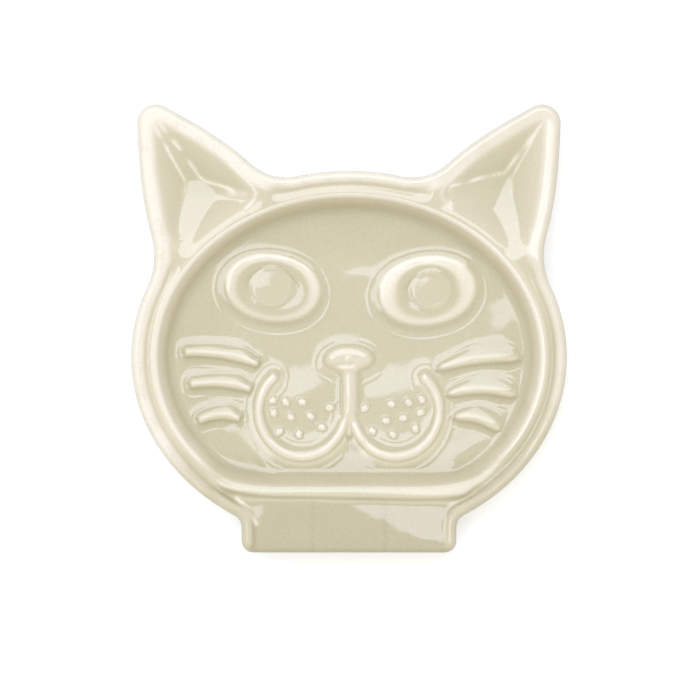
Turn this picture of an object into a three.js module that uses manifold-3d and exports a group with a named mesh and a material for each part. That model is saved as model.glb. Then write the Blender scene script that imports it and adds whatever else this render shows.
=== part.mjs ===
import * as THREE from 'three';
import Module from 'manifold-3d';

// Cat-face spoon rest: a glazed stoneware dish with clay details laid on the floor of its well.
// Sizes are in millimetres. +Z is up, +Y points from the chin to the ears, and the origin is on the
// table under the middle of the dish. Places are given from the middle of the head, which is the
// middle of the ellipse that the cheeks follow. Angles are in degrees.

// Head
const headWidth = 120;
const headLength = 102.6;

// Ears: each edge bows out from a place on the head's ellipse to the rounded tip
const earTipAcross = 53.2;
const earTipUp = 64.5;
const earTipRadius = 5.1;
const earInnerBaseAngle = 69;
const earOuterBaseAngle = 29.8;
const earBow = 5;
const earInnerFillet = 8.7;
const earOuterFillet = 9;

// Chin tab, where the spoon's handle lies
const tabWidth = 59.2;
const tabReach = 53.9;
const tabCornerRadius = 3.2;
const tabFillet = 2.4;
const tabRimHeight = 14.2;
const tabPanelDepth = 1;
const tabBlend = 2.5;

// Rim: a rounded outer crest, a groove and the ridge round the well
const rimHeight = 17;
const rimThickness = 5;
const rimCrestInset = 1.7;
const rimEdgeRadius = 1.9;
const ridgeInset = 6;
const ridgeHeight = 16.2;
const grooveSlope = 0.5;
const grooveRounding = 0.6;

// Ear hollows: low cross ridges close them off from the groove, at these angles round the head
const earCornerAngles = [62, 30];
const earCornerDrop = 0.5;

// Well
const chinRidgeReach = 36.6;
const chinRidgeHeight = 14.2;
const chinRampLength = 14;
const wellCornerBlend = 6;
const floorHeight = 8.2;
const ridgeRadius = 1.6;
const wallAngle = 66;
const floorFillet = 2.8;

// Underside: the wall turns in to a flat foot ring round a shallow recess
const wallThickness = 4;
const bandThickness = 5.2;
const wallTurnHeight = 4.5;
const footInset = 3.4;
const footWidth = 6;
const footRecess = 3;
const footEdge = 1.1;

// Clay details
const layGap = 0.3;

// Eyes: places as shares of the floor's half width and half length, and the iris as a share of the eye
const eyes = {
  left: { acrossShare: 0.443, upShare: 0.506, irisShare: 0.011 },
  right: { acrossShare: 0.454, upShare: 0.485, irisShare: 0.039 },
};
const eyeLength = 28.2;
const eyeHeight = 20;
const eyeTilt = 8;
const eyeCoilWidth = 3.3;
const eyeCoilHeight = 1.2;
const irisDiameter = 12;
const irisHeight = 0.6;
const irisDrop = 0.2;

// Nose, from the middle of the head
const noseWidth = 14.8;
const noseRise = 3.9;
const noseSideDrop = 0.8;
const noseDrop = 5.2;
const noseHeight = 1.9;

// Mouth: the philtrum, and a curl to each side of it that stands clear of the wall at the chin
const mouthCoilWidth = 4.2;
const mouthCoilHeight = 1.2;
const mouthGap = 1.2;
const philtrumTail = 5.3;
const curlSpread = 0.9;
const curlRadius = 12;
const curlOuterAngle = 48;
const curlInnerAngle = -156;

// Whiskers: the outer end lies at a rise over the curl's middle, as a share of the curl's radius, and a
// number of gaps from the wall. The inner end lies at an angle about the curl's middle, and a number of
// gaps from the curl. The bow is a share of the length, and the thickness a share of the width.
const whiskerWidth = 3.6;
const whiskerHeight = 1.4;
const whiskerGap = 1;
const whiskers = {
  left: [
    { rise: 1.395, wallGaps: 2, angle: 50.3, curlGaps: 3.6, bow: 0.125, thick: 0.92 },
    { rise: 0.662, wallGaps: 2.8, angle: 27.1, curlGaps: 0.85, bow: 0.14, thick: 0.92 },
    { rise: -0.138, wallGaps: 1.4, angle: -2.5, curlGaps: 2.2, bow: 0.307, thick: 0.94 },
  ],
  right: [
    { rise: 1.278, wallGaps: 1.4, angle: 47.4, curlGaps: 2.6, bow: 0.137, thick: 1.11 },
    { rise: 0.42, wallGaps: 0.8, angle: 19.8, curlGaps: 0.7, bow: 0.218, thick: 1.11 },
    { rise: -0.388, wallGaps: 0.4, angle: -4.7, curlGaps: 1.9, bow: 0.34, thick: 1.06 },
  ],
};

// Freckles on the whisker pads: the angle round the curl's middle, and the share of the way out to it
const freckleDiameter = 2.1;
const freckleHeight = 0.7;
const freckles = {
  left: [
    [160, 1], [152, 0.6], [90, 0.28], [184, 0.92], [208, 0.42],
    [-33, 0.32], [7, 0.9], [-40, 0.82], [222, 1], [262, 0.75],
  ],
  right: [
    [124, 0.26], [34, 0.5], [24, 0.92], [-4, 0.8], [-44, 0.33],
    [225, 0.45], [175, 1], [-42, 0.85], [220, 1], [263, 0.77],
  ],
};

// Colours
const dishColour = 0xd6cfb5;
const detailColour = 0xe3dcc6;
const glazeRoughness = 0.18;

// Fineness of the facets
const outlineStep = 3.1;
const bandShares = [0.17, 0.34, 0.5, 0.66, 0.83];
const coilStep = 2.2;
const padStep = 1.6;
const coilSides = 6;

const wasm = await Module();
wasm.setup();

const radians = THREE.MathUtils.degToRad;
const { lerp, smoothstep } = THREE.MathUtils;

function smoothMin(a, b, blend) {
  const near = Math.max(blend - Math.abs(a - b), 0) / blend;
  return Math.min(a, b) - (near * near * blend) / 4;
}

function headPoint(degrees) {
  const angle = radians(degrees);
  return new THREE.Vector2((headWidth / 2) * Math.cos(angle), (headLength / 2) * Math.sin(angle));
}

// Degrees round the head that a length along its edge covers at a place
function headDegrees(length, degrees) {
  const angle = radians(degrees);
  const speed = Math.hypot((headWidth / 2) * Math.sin(angle), (headLength / 2) * Math.cos(angle));
  return THREE.MathUtils.radToDeg(length / speed);
}

// Where a line from a place touches the ear tip's circle, on its left (1) or right (-1) side
function tipTouch(from, tip, side) {
  const reach = tip.clone().sub(from);
  const length = Math.sqrt(reach.lengthSq() - earTipRadius ** 2);
  const angle = reach.angle() + side * Math.asin(earTipRadius / reach.length());
  return from.clone().add(new THREE.Vector2(Math.cos(angle), Math.sin(angle)).multiplyScalar(length));
}

// The point that an ear's bowed edge bends about: out to one side of the line from its base to the tip
function earTurn(base, tip, side) {
  const along = tip.clone().sub(base).normalize();
  const out = new THREE.Vector2(-along.y, along.x);
  return base.clone().lerp(tip, 0.5).addScaledVector(out, side * earBow);
}

// Where the tab's side meets the head
const notchAngle = -THREE.MathUtils.radToDeg(Math.acos(tabWidth / headWidth));

// The right half of the outline, from the top of the head clockwise to the end of the tab
function halfOutline() {
  const tip = new THREE.Vector2(earTipAcross, earTipUp);
  const innerBase = headPoint(earInnerBaseAngle);
  const outerBase = headPoint(earOuterBaseAngle);
  const innerTurn = earTurn(innerBase, tip, 1);
  const outerTurn = earTurn(outerBase, tip, -1);
  const innerTouch = tipTouch(innerTurn, tip, 1);
  const outerTouch = tipTouch(outerTurn, tip, -1);
  const innerStart = earInnerBaseAngle + headDegrees(earInnerFillet, earInnerBaseAngle);
  const outerEnd = earOuterBaseAngle - headDegrees(earOuterFillet, earOuterBaseAngle);
  const innerEnd = innerBase.clone().lerp(innerTurn, earInnerFillet / innerBase.distanceTo(innerTurn));
  const outerStart = outerBase.clone().lerp(outerTurn, earOuterFillet / outerBase.distanceTo(outerTurn));
  const outerHead = headPoint(outerEnd);
  const notch = headPoint(notchAngle);
  const notchStart = notchAngle + headDegrees(tabFillet, notchAngle);
  const cornerAcross = tabWidth / 2 - tabCornerRadius;
  const cornerDown = -tabReach + tabCornerRadius;

  const path = new THREE.Path();
  path.moveTo(0, headLength / 2);
  path.absellipse(0, 0, headWidth / 2, headLength / 2, Math.PI / 2, radians(innerStart), true);
  path.quadraticCurveTo(innerBase.x, innerBase.y, innerEnd.x, innerEnd.y);
  path.quadraticCurveTo(innerTurn.x, innerTurn.y, innerTouch.x, innerTouch.y);
  const tipStart = innerTouch.clone().sub(tip).angle();
  const tipEnd = outerTouch.clone().sub(tip).angle();
  path.absarc(tip.x, tip.y, earTipRadius, tipStart, tipEnd, true);
  path.quadraticCurveTo(outerTurn.x, outerTurn.y, outerStart.x, outerStart.y);
  path.quadraticCurveTo(outerBase.x, outerBase.y, outerHead.x, outerHead.y);
  path.absellipse(0, 0, headWidth / 2, headLength / 2, radians(outerEnd), radians(notchStart), true);
  path.quadraticCurveTo(notch.x, notch.y, tabWidth / 2, notch.y - tabFillet);
  path.lineTo(tabWidth / 2, cornerDown);
  path.absarc(cornerAcross, cornerDown, tabCornerRadius, 0, -Math.PI / 2, true);
  path.lineTo(0, -tabReach);
  return path;
}

function samplePath(path, step) {
  const curves = path.curves.filter((curve) => curve.getLength() > step / 100);
  return curves.flatMap((curve) => {
    const fewest = curve.isLineCurve ? 1 : 3;
    const count = Math.max(fewest, Math.round(curve.getLength() / step));
    return curve.getPoints(count).slice(0, -1);
  });
}

function mirrorLoop(half) {
  const top = half[0];
  const bottom = new THREE.Vector2(0, -tabReach);
  const left = half.slice(1).map((point) => new THREE.Vector2(-point.x, point.y));
  return [top, ...half.slice(1), bottom, ...left.reverse()];
}

const outline = mirrorLoop(samplePath(halfOutline(), outlineStep));
const outlineInward = outline.map((point, i) => {
  const before = outline[(i + outline.length - 1) % outline.length];
  const after = outline[(i + 1) % outline.length];
  const along = after.clone().sub(before).normalize();
  return new THREE.Vector2(along.y, -along.x);
});
const outlineAngles = outline.map((point) => point.angle());

function outlineRing(inset) {
  return outline.map((point, i) => point.clone().addScaledVector(outlineInward[i], inset));
}

// The well's edge moved inward, as a distance from the middle of the head: an ellipse cut straight
// across at the chin, with soft corners
function wellReach(angle, inset) {
  const across = headWidth / 2 - ridgeInset - inset;
  const along = headLength / 2 - ridgeInset - inset;
  const round = 1 / Math.hypot(Math.cos(angle) / across, Math.sin(angle) / along);
  const down = -Math.sin(angle);
  if (down <= 0) return round;
  return smoothMin(round, (chinRidgeReach - inset) / down, wellCornerBlend);
}

function wellPoint(angle, inset) {
  const reach = wellReach(angle, inset);
  return new THREE.Vector2(reach * Math.cos(angle), reach * Math.sin(angle));
}

function wellRing(inset) {
  return outlineAngles.map((angle) => wellPoint(angle, inset));
}

function segmentDistance(point, start, end) {
  const along = end.clone().sub(start);
  const share = THREE.MathUtils.clamp(point.clone().sub(start).dot(along) / along.lengthSq(), 0, 1);
  return point.distanceTo(along.multiplyScalar(share).add(start));
}

function lineDistance(point, segments) {
  return Math.min(...segments.map(([start, end]) => segmentDistance(point, start, end)));
}

function loopSegments(loop) {
  return loop.map((point, i) => [point, loop[(i + 1) % loop.length]]);
}

// The crests that the groove, the ear hollows and the tab's panel lie between. The tab's end has none.
const sideEnd = -tabReach + tabCornerRadius;
const isSide = ([start, end]) => Math.max(start.y, end.y) > sideEnd;
const rimCrest = loopSegments(outlineRing(rimCrestInset)).filter(isSide);
const ridgeCrest = loopSegments(wellRing(0));
const earCorners = earCornerAngles.flatMap((degrees) => [degrees, 180 - degrees]).map((degrees) => {
  const start = wellPoint(radians(degrees), 0);
  return [start, start.clone().multiplyScalar(1 + (2 * ridgeInset) / start.length())];
});

function ridgeTop(point) {
  const rise = smoothstep(point.y, -chinRidgeReach, -chinRidgeReach + chinRampLength);
  return lerp(chinRidgeHeight, ridgeHeight, rise);
}

function rimTop(point) {
  return lerp(tabRimHeight, rimHeight, smoothstep(point.y, headPoint(notchAngle).y, -chinRidgeReach));
}

// Height of the glazed face between the rim's crest and the well's ridge
function bandTop(point) {
  const toRim = lineDistance(point, rimCrest);
  const toRidge = lineDistance(point, ridgeCrest);
  const toCorner = lineDistance(point, earCorners) + earCornerDrop;
  const away = Math.min(toRim, toRidge, toCorner);
  const crest = lerp(ridgeTop(point), rimTop(point), toRidge / (toRim + toRidge));
  const groove = grooveSlope * (Math.hypot(away, grooveRounding) - grooveRounding);
  const onTab = smoothstep(-point.y, chinRidgeReach - tabBlend, chinRidgeReach + tabBlend);
  return crest - lerp(groove, Math.min(groove, tabPanelDepth), onTab);
}

// The well's wall: an arc over the ridge, a straight slope, and an arc onto the floor
const slopeAngle = radians(wallAngle);
const wellDepth = ridgeHeight - floorHeight;
const crestRun = ridgeRadius * Math.sin(slopeAngle);
const crestDrop = ridgeRadius * (1 - Math.cos(slopeAngle));

function slopeInset(drop) {
  return crestRun + (drop - crestDrop) / Math.tan(slopeAngle);
}

const filletDrop = floorFillet * (1 - Math.cos(slopeAngle));
const floorInset = slopeInset(wellDepth - filletDrop) + floorFillet * Math.sin(slopeAngle);

// Places down the wall, as insets from the ridge and drops below it
function wallPlaces() {
  const overRidge = [0.5, 1].map((share) => {
    const turn = slopeAngle * share;
    return [ridgeRadius * Math.sin(turn), ridgeRadius * (1 - Math.cos(turn))];
  });
  const ontoFloor = [1, 0.55, 0].map((share) => {
    const turn = slopeAngle * share;
    return [floorInset - floorFillet * Math.sin(turn), wellDepth - floorFillet * (1 - Math.cos(turn))];
  });
  return [...overRidge, ...ontoFloor];
}

// The outside of the wall at a drop below the ridge, one wall thickness out from the slope
function outerInset(drop) {
  return slopeInset(drop) - wallThickness / Math.sin(slopeAngle);
}

// The flat floor's half width and half length, and its reach to the chin
const floorAcross = headWidth / 2 - ridgeInset - floorInset;
const floorAlong = headLength / 2 - ridgeInset - floorInset;
const floorDown = chinRidgeReach - floorInset;

// Half the floor's width at a place up or down the face
function floorReach(up) {
  return floorAcross * Math.sqrt(1 - (up / floorAlong) ** 2);
}

function at(points, heightOf) {
  return points.map((point, i) => new THREE.Vector3(point.x, point.y, heightOf(point, i)));
}

// A closed skin over rings of equal count, with a middle point under the first and over the last
function loftRings(rings, first, last) {
  const count = rings[0].length;
  const points = [...rings.flat(), first, last];
  const faces = [];
  for (let r = 0; r + 1 < rings.length; r += 1) {
    for (let i = 0; i < count; i += 1) {
      const j = (i + 1) % count;
      const low = [r * count + i, r * count + j];
      const high = [low[0] + count, low[1] + count];
      faces.push(low[0], high[1], low[1], low[0], high[0], high[1]);
    }
  }
  const top = (rings.length - 1) * count;
  for (let i = 0; i < count; i += 1) {
    const j = (i + 1) % count;
    faces.push(points.length - 2, i, j);
    faces.push(points.length - 1, top + j, top + i);
  }
  const geometry = new THREE.BufferGeometry().setFromPoints(points);
  geometry.setIndex(faces);
  return geometry;
}

function dishGeometry() {
  const crestRing = outlineRing(rimCrestInset);
  const ridgeRing = wellRing(0);
  const crestTops = crestRing.map(bandTop);
  const ridgeTops = ridgeRing.map(ridgeTop);
  const underRing = wellRing(outerInset(bandThickness));
  const edgeRing = outlineRing(rimEdgeRadius / 2);
  const underTops = ridgeTops.map((top) => top - bandThickness);
  const edgeTops = crestTops.map((top) => top - rimThickness);

  const footRings = [
    at(wellRing(footInset + footWidth + footRecess), () => footRecess),
    at(wellRing(footInset + footWidth), () => 0),
    at(wellRing(footInset), () => 0),
    at(wellRing(footInset - footEdge), () => footEdge),
    at(wellRing(outerInset(ridgeHeight - wallTurnHeight)), () => wallTurnHeight),
    at(underRing, (point, i) => underTops[i]),
  ];
  const underBand = bandShares.map((share) => {
    const ring = underRing.map((point, i) => point.clone().lerp(edgeRing[i], share));
    const level = (point, i) => lerp(underTops[i], edgeTops[i], share);
    return at(ring, (point, i) => Math.min(level(point, i), bandTop(point) - wallThickness));
  });
  const edgeRings = [
    at(edgeRing, (point, i) => edgeTops[i]),
    at(outline, (point, i) => edgeTops[i] + rimEdgeRadius),
    at(outline, (point, i) => crestTops[i] - rimEdgeRadius),
    at(outlineRing(rimCrestInset * 0.29), (point, i) => crestTops[i] - rimEdgeRadius * 0.29),
    at(crestRing, (point, i) => crestTops[i]),
  ];
  const topBand = bandShares.map((share) => {
    const ring = crestRing.map((point, i) => point.clone().lerp(ridgeRing[i], share));
    return at(ring, bandTop);
  });
  const wellRings = wallPlaces().map(([inset, drop]) => {
    return at(wellRing(inset), (point, i) => lerp(ridgeTops[i], floorHeight, drop / wellDepth));
  });
  const rings = [
    ...footRings, ...underBand, ...edgeRings, ...topBand, at(ridgeRing, ridgeTop), ...wellRings,
  ];
  return loftRings(rings, new THREE.Vector3(0, 0, footRecess), new THREE.Vector3(0, 0, floorHeight));
}

// A slice across a coil of clay pressed flat on the floor: half round, and level at the foot
function coilSlice(curve, share, width, height) {
  const middle = curve.getPointAt(share);
  const along = curve.getTangentAt(share);
  return Array.from({ length: coilSides + 1 }, (v, i) => {
    const turn = (Math.PI * i) / coilSides;
    const side = (Math.cos(turn) * width) / 2;
    return new THREE.Vector3(middle.x + along.y * side, middle.y - along.x * side, Math.sin(turn) * height);
  });
}

// A coil with two rounded ends, which draw in over the end length
function coilGeometry(curve, width, height, endLength) {
  const length = curve.getLength();
  const count = Math.ceil(length / coilStep);
  const ends = [0.13, 0.5].map((share) => share * endLength);
  const body = Array.from({ length: count + 1 }, (v, i) => lerp(endLength, length - endLength, i / count));
  const places = [...ends, ...body, ...ends.map((place) => length - place).reverse()];
  const slices = places.map((place) => {
    const drawn = 1 - Math.min(place, length - place, endLength) / endLength;
    const swell = Math.sqrt(1 - drawn ** 2);
    return coilSlice(curve, place / length, width * swell, height * swell);
  });
  const [start, end] = [0, 1].map((share) => curve.getPointAt(share));
  return loftRings(slices, new THREE.Vector3(start.x, start.y, 0), new THREE.Vector3(end.x, end.y, 0));
}

// A coil joined end to end
function coilLoopGeometry(curve, width, height) {
  const count = Math.ceil(curve.getLength() / coilStep);
  const slices = Array.from({ length: count }, (v, i) => coilSlice(curve, i / count, width, height));
  const around = coilSides + 1;
  const faces = slices.flatMap((slice, r) => slice.flatMap((point, i) => {
    const here = r * around;
    const next = ((r + 1) % count) * around;
    const j = (i + 1) % around;
    return [here + i, next + j, here + j, here + i, next + i, next + j];
  }));
  const geometry = new THREE.BufferGeometry().setFromPoints(slices.flat());
  geometry.setIndex(faces);
  return geometry;
}

// A pad of clay with a flat foot and a domed top, over an outline given about its own middle
function domeGeometry(points, height, levels) {
  const rings = levels.map((share) => {
    const lift = height * Math.sqrt(1 - share ** 2);
    return points.map((point) => new THREE.Vector3(point.x * share, point.y * share, lift));
  });
  return loftRings(rings, new THREE.Vector3(0, 0, 0), new THREE.Vector3(0, 0, height));
}

function circlePoints(diameter, count) {
  const circle = new THREE.EllipseCurve(0, 0, diameter / 2, diameter / 2, 0, 2 * Math.PI, true);
  return circle.getPoints(count).slice(0, -1);
}

// The nose: broad and round above, narrowing to the philtrum's width below
function nosePoints(grow) {
  const half = noseWidth / 2 + grow;
  const top = noseRise + grow;
  const side = -noseSideDrop;
  const bottom = -noseDrop - grow;
  const neck = mouthCoilWidth / 2 + grow;
  const shape = new THREE.Shape();
  shape.moveTo(0, top);
  const waist = lerp(side, bottom, 0.55);
  const shoulder = lerp(neck, half, 0.5);
  shape.bezierCurveTo(half * 0.62, top, half, top * 0.45, half, side);
  shape.bezierCurveTo(half, waist, shoulder, waist, neck, bottom);
  shape.lineTo(-neck, bottom);
  shape.bezierCurveTo(-shoulder, waist, -half, waist, -half, side);
  shape.bezierCurveTo(-half, top * 0.45, -half * 0.62, top, 0, top);
  return samplePath(shape, padStep);
}

function solidFrom(geometry) {
  const vertProperties = new Float32Array(geometry.attributes.position.array);
  const triVerts = new Uint32Array(geometry.index.array);
  return new wasm.Manifold(new wasm.Mesh({ numProp: 3, vertProperties, triVerts }));
}

function cut(geometry, tools) {
  const solid = tools.reduce((left, tool) => left.subtract(solidFrom(tool)), solidFrom(geometry));
  const mesh = solid.getMesh();
  const result = new THREE.BufferGeometry();
  result.setAttribute('position', new THREE.BufferAttribute(mesh.vertProperties, mesh.numProp));
  result.setIndex(new THREE.BufferAttribute(mesh.triVerts, 1));
  return result;
}

const earTop = earTipUp + earTipRadius;
const headMiddle = (tabReach - earTop) / 2;
const spoonRest = new THREE.Group();
spoonRest.name = 'cat_spoon_rest';

function addPiece(name, geometry, color, base = 0) {
  const material = new THREE.MeshStandardMaterial({ color, roughness: glazeRoughness, metalness: 0 });
  const mesh = new THREE.Mesh(geometry, material);
  mesh.name = name;
  mesh.position.set(0, headMiddle, base);
  spoonRest.add(mesh);
  return mesh;
}

function addDetail(name, geometry) {
  return addPiece(name, geometry, detailColour, floorHeight);
}

addPiece('dish_body', dishGeometry(), dishColour);

const sides = { left: -1, right: 1 };

for (const [side, hand] of Object.entries(sides)) {
  const eye = eyes[side];
  const across = hand * eye.acrossShare * floorAcross;
  const up = eye.upShare * floorAlong;
  const long = (eyeLength - eyeCoilWidth) / 2;
  const short = (eyeHeight - eyeCoilWidth) / 2;
  const turn = hand * radians(eyeTilt);
  const ring = new THREE.EllipseCurve(across, up, long, short, 0, 2 * Math.PI, false, turn);
  addDetail(`${side}_eye_ring`, coilLoopGeometry(ring, eyeCoilWidth, eyeCoilHeight));
  const iris = domeGeometry(circlePoints(irisDiameter, 28), irisHeight, [1, 0.93, 0.75, 0.45]);
  iris.translate(across + hand * eye.irisShare * eyeLength, up - irisDrop, 0);
  addDetail(`${side}_iris`, iris);
}

const noseLevels = [1, 0.95, 0.8, 0.55, 0.28];
addDetail('nose', domeGeometry(nosePoints(0), noseHeight, noseLevels));

// The middle of each curl
const curlAcross = curlRadius + curlSpread;
const curlUp = mouthGap + mouthCoilWidth / 2 + curlRadius - floorDown;

function philtrumGeometry(grow) {
  const top = new THREE.Vector2(0, mouthCoilWidth / 2 - noseDrop);
  const bottom = new THREE.Vector2(0, curlUp - philtrumTail - grow);
  const width = mouthCoilWidth + 2 * grow;
  return coilGeometry(new THREE.LineCurve(top, bottom), width, mouthCoilHeight + grow, width / 2);
}

const noseCut = domeGeometry(nosePoints(layGap), noseHeight + layGap, noseLevels);
addDetail('philtrum', cut(philtrumGeometry(0), [noseCut]));

function aboutCurl(hand, degrees, reach) {
  const angle = radians(degrees);
  return new THREE.Vector2(hand * curlAcross + reach * Math.cos(angle), curlUp + reach * Math.sin(angle));
}

function whiskerCurve(hand, whisker) {
  const rise = curlUp + whisker.rise * curlRadius;
  const outerAcross = floorReach(rise) - whisker.wallGaps * whiskerGap;
  const outer = new THREE.Vector2(hand * outerAcross, rise);
  const innerReach = curlRadius + mouthCoilWidth / 2 + whisker.curlGaps * whiskerGap;
  const inner = aboutCurl(hand, hand > 0 ? whisker.angle : 180 - whisker.angle, innerReach);
  const bend = outer.clone().lerp(inner, 0.5);
  bend.y += whisker.bow * outer.distanceTo(inner);
  return new THREE.QuadraticBezierCurve(outer, bend, inner);
}

for (const [side, hand] of Object.entries(sides)) {
  const start = hand > 0 ? curlOuterAngle : 180 - curlOuterAngle;
  const end = hand > 0 ? curlInnerAngle : 180 - curlInnerAngle;
  const arc = new THREE.EllipseCurve(
    hand * curlAcross, curlUp, curlRadius, curlRadius, radians(start), radians(end), hand > 0,
  );
  const curl = coilGeometry(arc, mouthCoilWidth, mouthCoilHeight, mouthCoilWidth / 2);
  addDetail(`${side}_mouth_curl`, cut(curl, [philtrumGeometry(layGap)]));

  const padRadius = curlRadius - (mouthCoilWidth + freckleDiameter) / 2 - layGap;
  freckles[side].forEach(([degrees, share], i) => {
    const place = aboutCurl(hand, degrees, padRadius * share);
    const pellet = domeGeometry(circlePoints(freckleDiameter, 10), freckleHeight, [1, 0.85, 0.5]);
    addDetail(`${side}_freckle_${i + 1}`, pellet.translate(place.x, place.y, 0));
  });

  whiskers[side].forEach((whisker, i) => {
    const width = whisker.thick * whiskerWidth;
    const line = whiskerCurve(hand, whisker);
    addDetail(`${side}_whisker_${i + 1}`, coilGeometry(line, width, whiskerHeight, width));
  });
}

export default spoonRest;
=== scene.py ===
import math
from dataclasses import dataclass
from types import SimpleNamespace

import bpy
import numpy as np
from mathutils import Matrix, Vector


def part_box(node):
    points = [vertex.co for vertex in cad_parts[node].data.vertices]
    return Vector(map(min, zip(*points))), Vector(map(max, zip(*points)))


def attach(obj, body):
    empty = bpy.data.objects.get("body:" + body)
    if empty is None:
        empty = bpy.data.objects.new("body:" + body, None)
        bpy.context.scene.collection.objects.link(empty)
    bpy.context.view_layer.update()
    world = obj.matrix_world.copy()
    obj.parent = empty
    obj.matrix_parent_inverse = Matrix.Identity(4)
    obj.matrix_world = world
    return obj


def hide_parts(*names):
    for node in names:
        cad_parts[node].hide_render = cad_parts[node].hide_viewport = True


# Cat-face spoon rest: a glazed dish, and the clay details that stand out of the floor of its well.
# Lengths are in millimetres and places are taken from the middle of the head, with +Y from the chin
# to the ears, until a mesh is made. Meshes are in metres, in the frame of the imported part.

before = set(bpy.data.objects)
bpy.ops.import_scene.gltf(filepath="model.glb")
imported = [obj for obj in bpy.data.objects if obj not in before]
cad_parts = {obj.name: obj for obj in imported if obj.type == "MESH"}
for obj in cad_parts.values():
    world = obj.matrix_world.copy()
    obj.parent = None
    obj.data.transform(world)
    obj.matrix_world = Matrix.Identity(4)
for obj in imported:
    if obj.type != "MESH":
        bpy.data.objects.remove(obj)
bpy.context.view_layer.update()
METRE = 1000.0


def node_box(name):
    low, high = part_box(name)
    return np.array(low) * METRE, np.array(high) * METRE


dish_low, dish_high = node_box("dish_body")

# A fade is the two values that a smooth step runs between. Three values can be what a measure comes to
# and the fade on its way there, or the place, width and height of a fold. A swelling is the place of its
# middle, its half width, its half length and its height.

# Head, ears and chin tab
HEAD_WIDTH = dish_high[0] - dish_low[0]
HEAD_LENGTH = 102.6
EAR_TIP_ACROSS = 53.2
EAR_TIP_UP = 64.5
EAR_TIP_RADIUS = 5.1
EAR_INNER_BASE_ANGLE = 69
EAR_OUTER_BASE_ANGLE = 29.8
EAR_BOW = 5.0
EAR_INNER_FILLET = 8.7
EAR_OUTER_FILLET = 9.0
TAB_WIDTH = 59.2
TAB_REACH = 53.9
TAB_CORNER_RADIUS = 3.2
TAB_FILLET = 2.4
HEAD_MIDDLE = (TAB_REACH - EAR_TIP_UP - EAR_TIP_RADIUS) / 2

# Rim, groove and the ridge round the well
RIM_HEIGHT = dish_high[2]
RIM_THICKNESS = 5.0
RIM_CREST_INSET = 1.7
RIM_EDGE_RADIUS = 1.9
RIM_LAND = 0.7
LEFT_RIM_LAND = (1.5, 30, 50)
RIDGE_INSET = 6.0
RIDGE_HEIGHT = 16.2
RIDGE_LAND = 0.5
GROOVE_SLOPE = 0.7
GROOVE_DEPTH = 7.0
GROOVE_ROUNDING = 0.4
GROOVE_BLEND = 0.6
CHIN_RIDGE_REACH = 36.6
CHIN_RIDGE_HEIGHT = 14.2
CHIN_RIDGE_LAND = 1.6
CHIN_RAMP_LENGTH = 14.0
CHIN_SKEW = 0.02
CHIN_FADE = (26, CHIN_RIDGE_REACH)
CHIN_END_FADE = (-36, -31)

# Tab's panel, and the seam between it and the chin's ridge
TAB_RIM_HEIGHT = 14.2
TAB_BLEND = 2.5
PANEL_DEPTH = 1.0
PANEL_DROP = 0.35
PANEL_ROUNDING = 0.4
PANEL_EDGE_FADE = (0.3, 0.9)
PANEL_TWIST = (9.2, -45.0)
PANEL_TWIST_SLANT = 0.25
PANEL_TILT = 0.008
RIGHT_PANEL_TILT = (0.06, -3, 3)
PANEL_CREASE = (10.0, 0.4, -0.025)
PANEL_RIPPLE = 0.012
PANEL_SWELLING = (-24.5, -45.0, 3.0, 3.5, 0.12)
PANEL_TURN_START = 50.0
PANEL_TURN = 0.05
SEAM_CREASE = (2.5, 0.5, -0.08)
SEAM_LIP = (3.2, 0.35, 0.12)
SEAM_RIPPLE = 0.15
SEAM_END_FADE = (-0.5, 1.5)
TO_LEFT_EAR = (-0.64, 0.77)

# Ear hollows: their lowest place, the corners that a trough runs to and how it rises to each of them
EAR_FADE = (6, 12)
EAR_SLOPE = 0.53
EAR_INNER_SLOPE = (0.62, -2, 2)
EAR_AXIS = np.array(((38.0, 36.0), (53.2, 64.5)))
EAR_RIM_LAND = 2.2
EAR_RIM_ROUNDING = 0.4
EAR_RIDGE_LAND = 1.2
EAR_MIDDLE = np.array((41.8, 49.6))
EAR_CORNERS = np.array(((27.2, 45.7), (47.6, 29.2), (51.2, 63.8)))
EAR_TROUGH_ASIDE = 2.0
EAR_TROUGH_DEPTH = 5.05
EAR_TROUGH_RISES = (0.255, 0.205, 0.235)
EAR_TROUGH_EDGE = 0.25
EAR_TROUGH_FADES = ((0, 0.3), (43, 47))
EAR_LIP = 0.26
EAR_LIP_WIDTH = 0.26
EAR_LIP_FADE = (43, 46)
EAR_LIP_SHARE = 0.85
EAR_RIPPLE = 0.03
EAR_RIPPLE_FADE = (1, 2.5)
HOLLOW_BLEND = 0.6
HOLLOW_CORNER_BLENDS = ((2.4, -47, -37), (2.2, 54, 62), (1.5, -37, -30))

# The bridges that close an ear's hollow off from the groove, and the bead round its inner corner
EAR_CORNER_ANGLES = (62, 30)
EAR_BRIDGE = 0.95
EAR_BRIDGE_WIDTH = 3.6
EAR_BEAD = np.array(
    ((32.3, 52.4), (28.6, 49.2), (26.6, 46.9), (25.6, 45.0), (26.3, 43.0), (28.6, 40.9))
)
EAR_BEAD_HEIGHT = 0.35
EAR_BEAD_WIDTH = 0.6
RIGHT_BEAD_SHARE = 0.5

# Well
WELL_CORNER_BLEND = 6.0
FLOOR_HEIGHT = node_box("nose")[0][2]
WELL_DEPTH = RIDGE_HEIGHT - FLOOR_HEIGHT
RIDGE_RADIUS = 1.6
WALL_ANGLE = math.radians(66)
FLOOR_FILLET = 2.8
FLOOR_BOWL = 0.2
FLOOR_RIPPLE = 0.025
FLOOR_GRAIN = 0.006
FLOOR_SWELLINGS = (
    (4.5, 22.0, 6.0, 2.2, 0.14),
    (45.0, 8.0, 5.0, 7.5, 0.25),
    (-14.0, -11.5, 11.0, 6.5, 0.45),
    (14.0, -11.5, 11.0, 6.5, 0.45),
)

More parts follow.
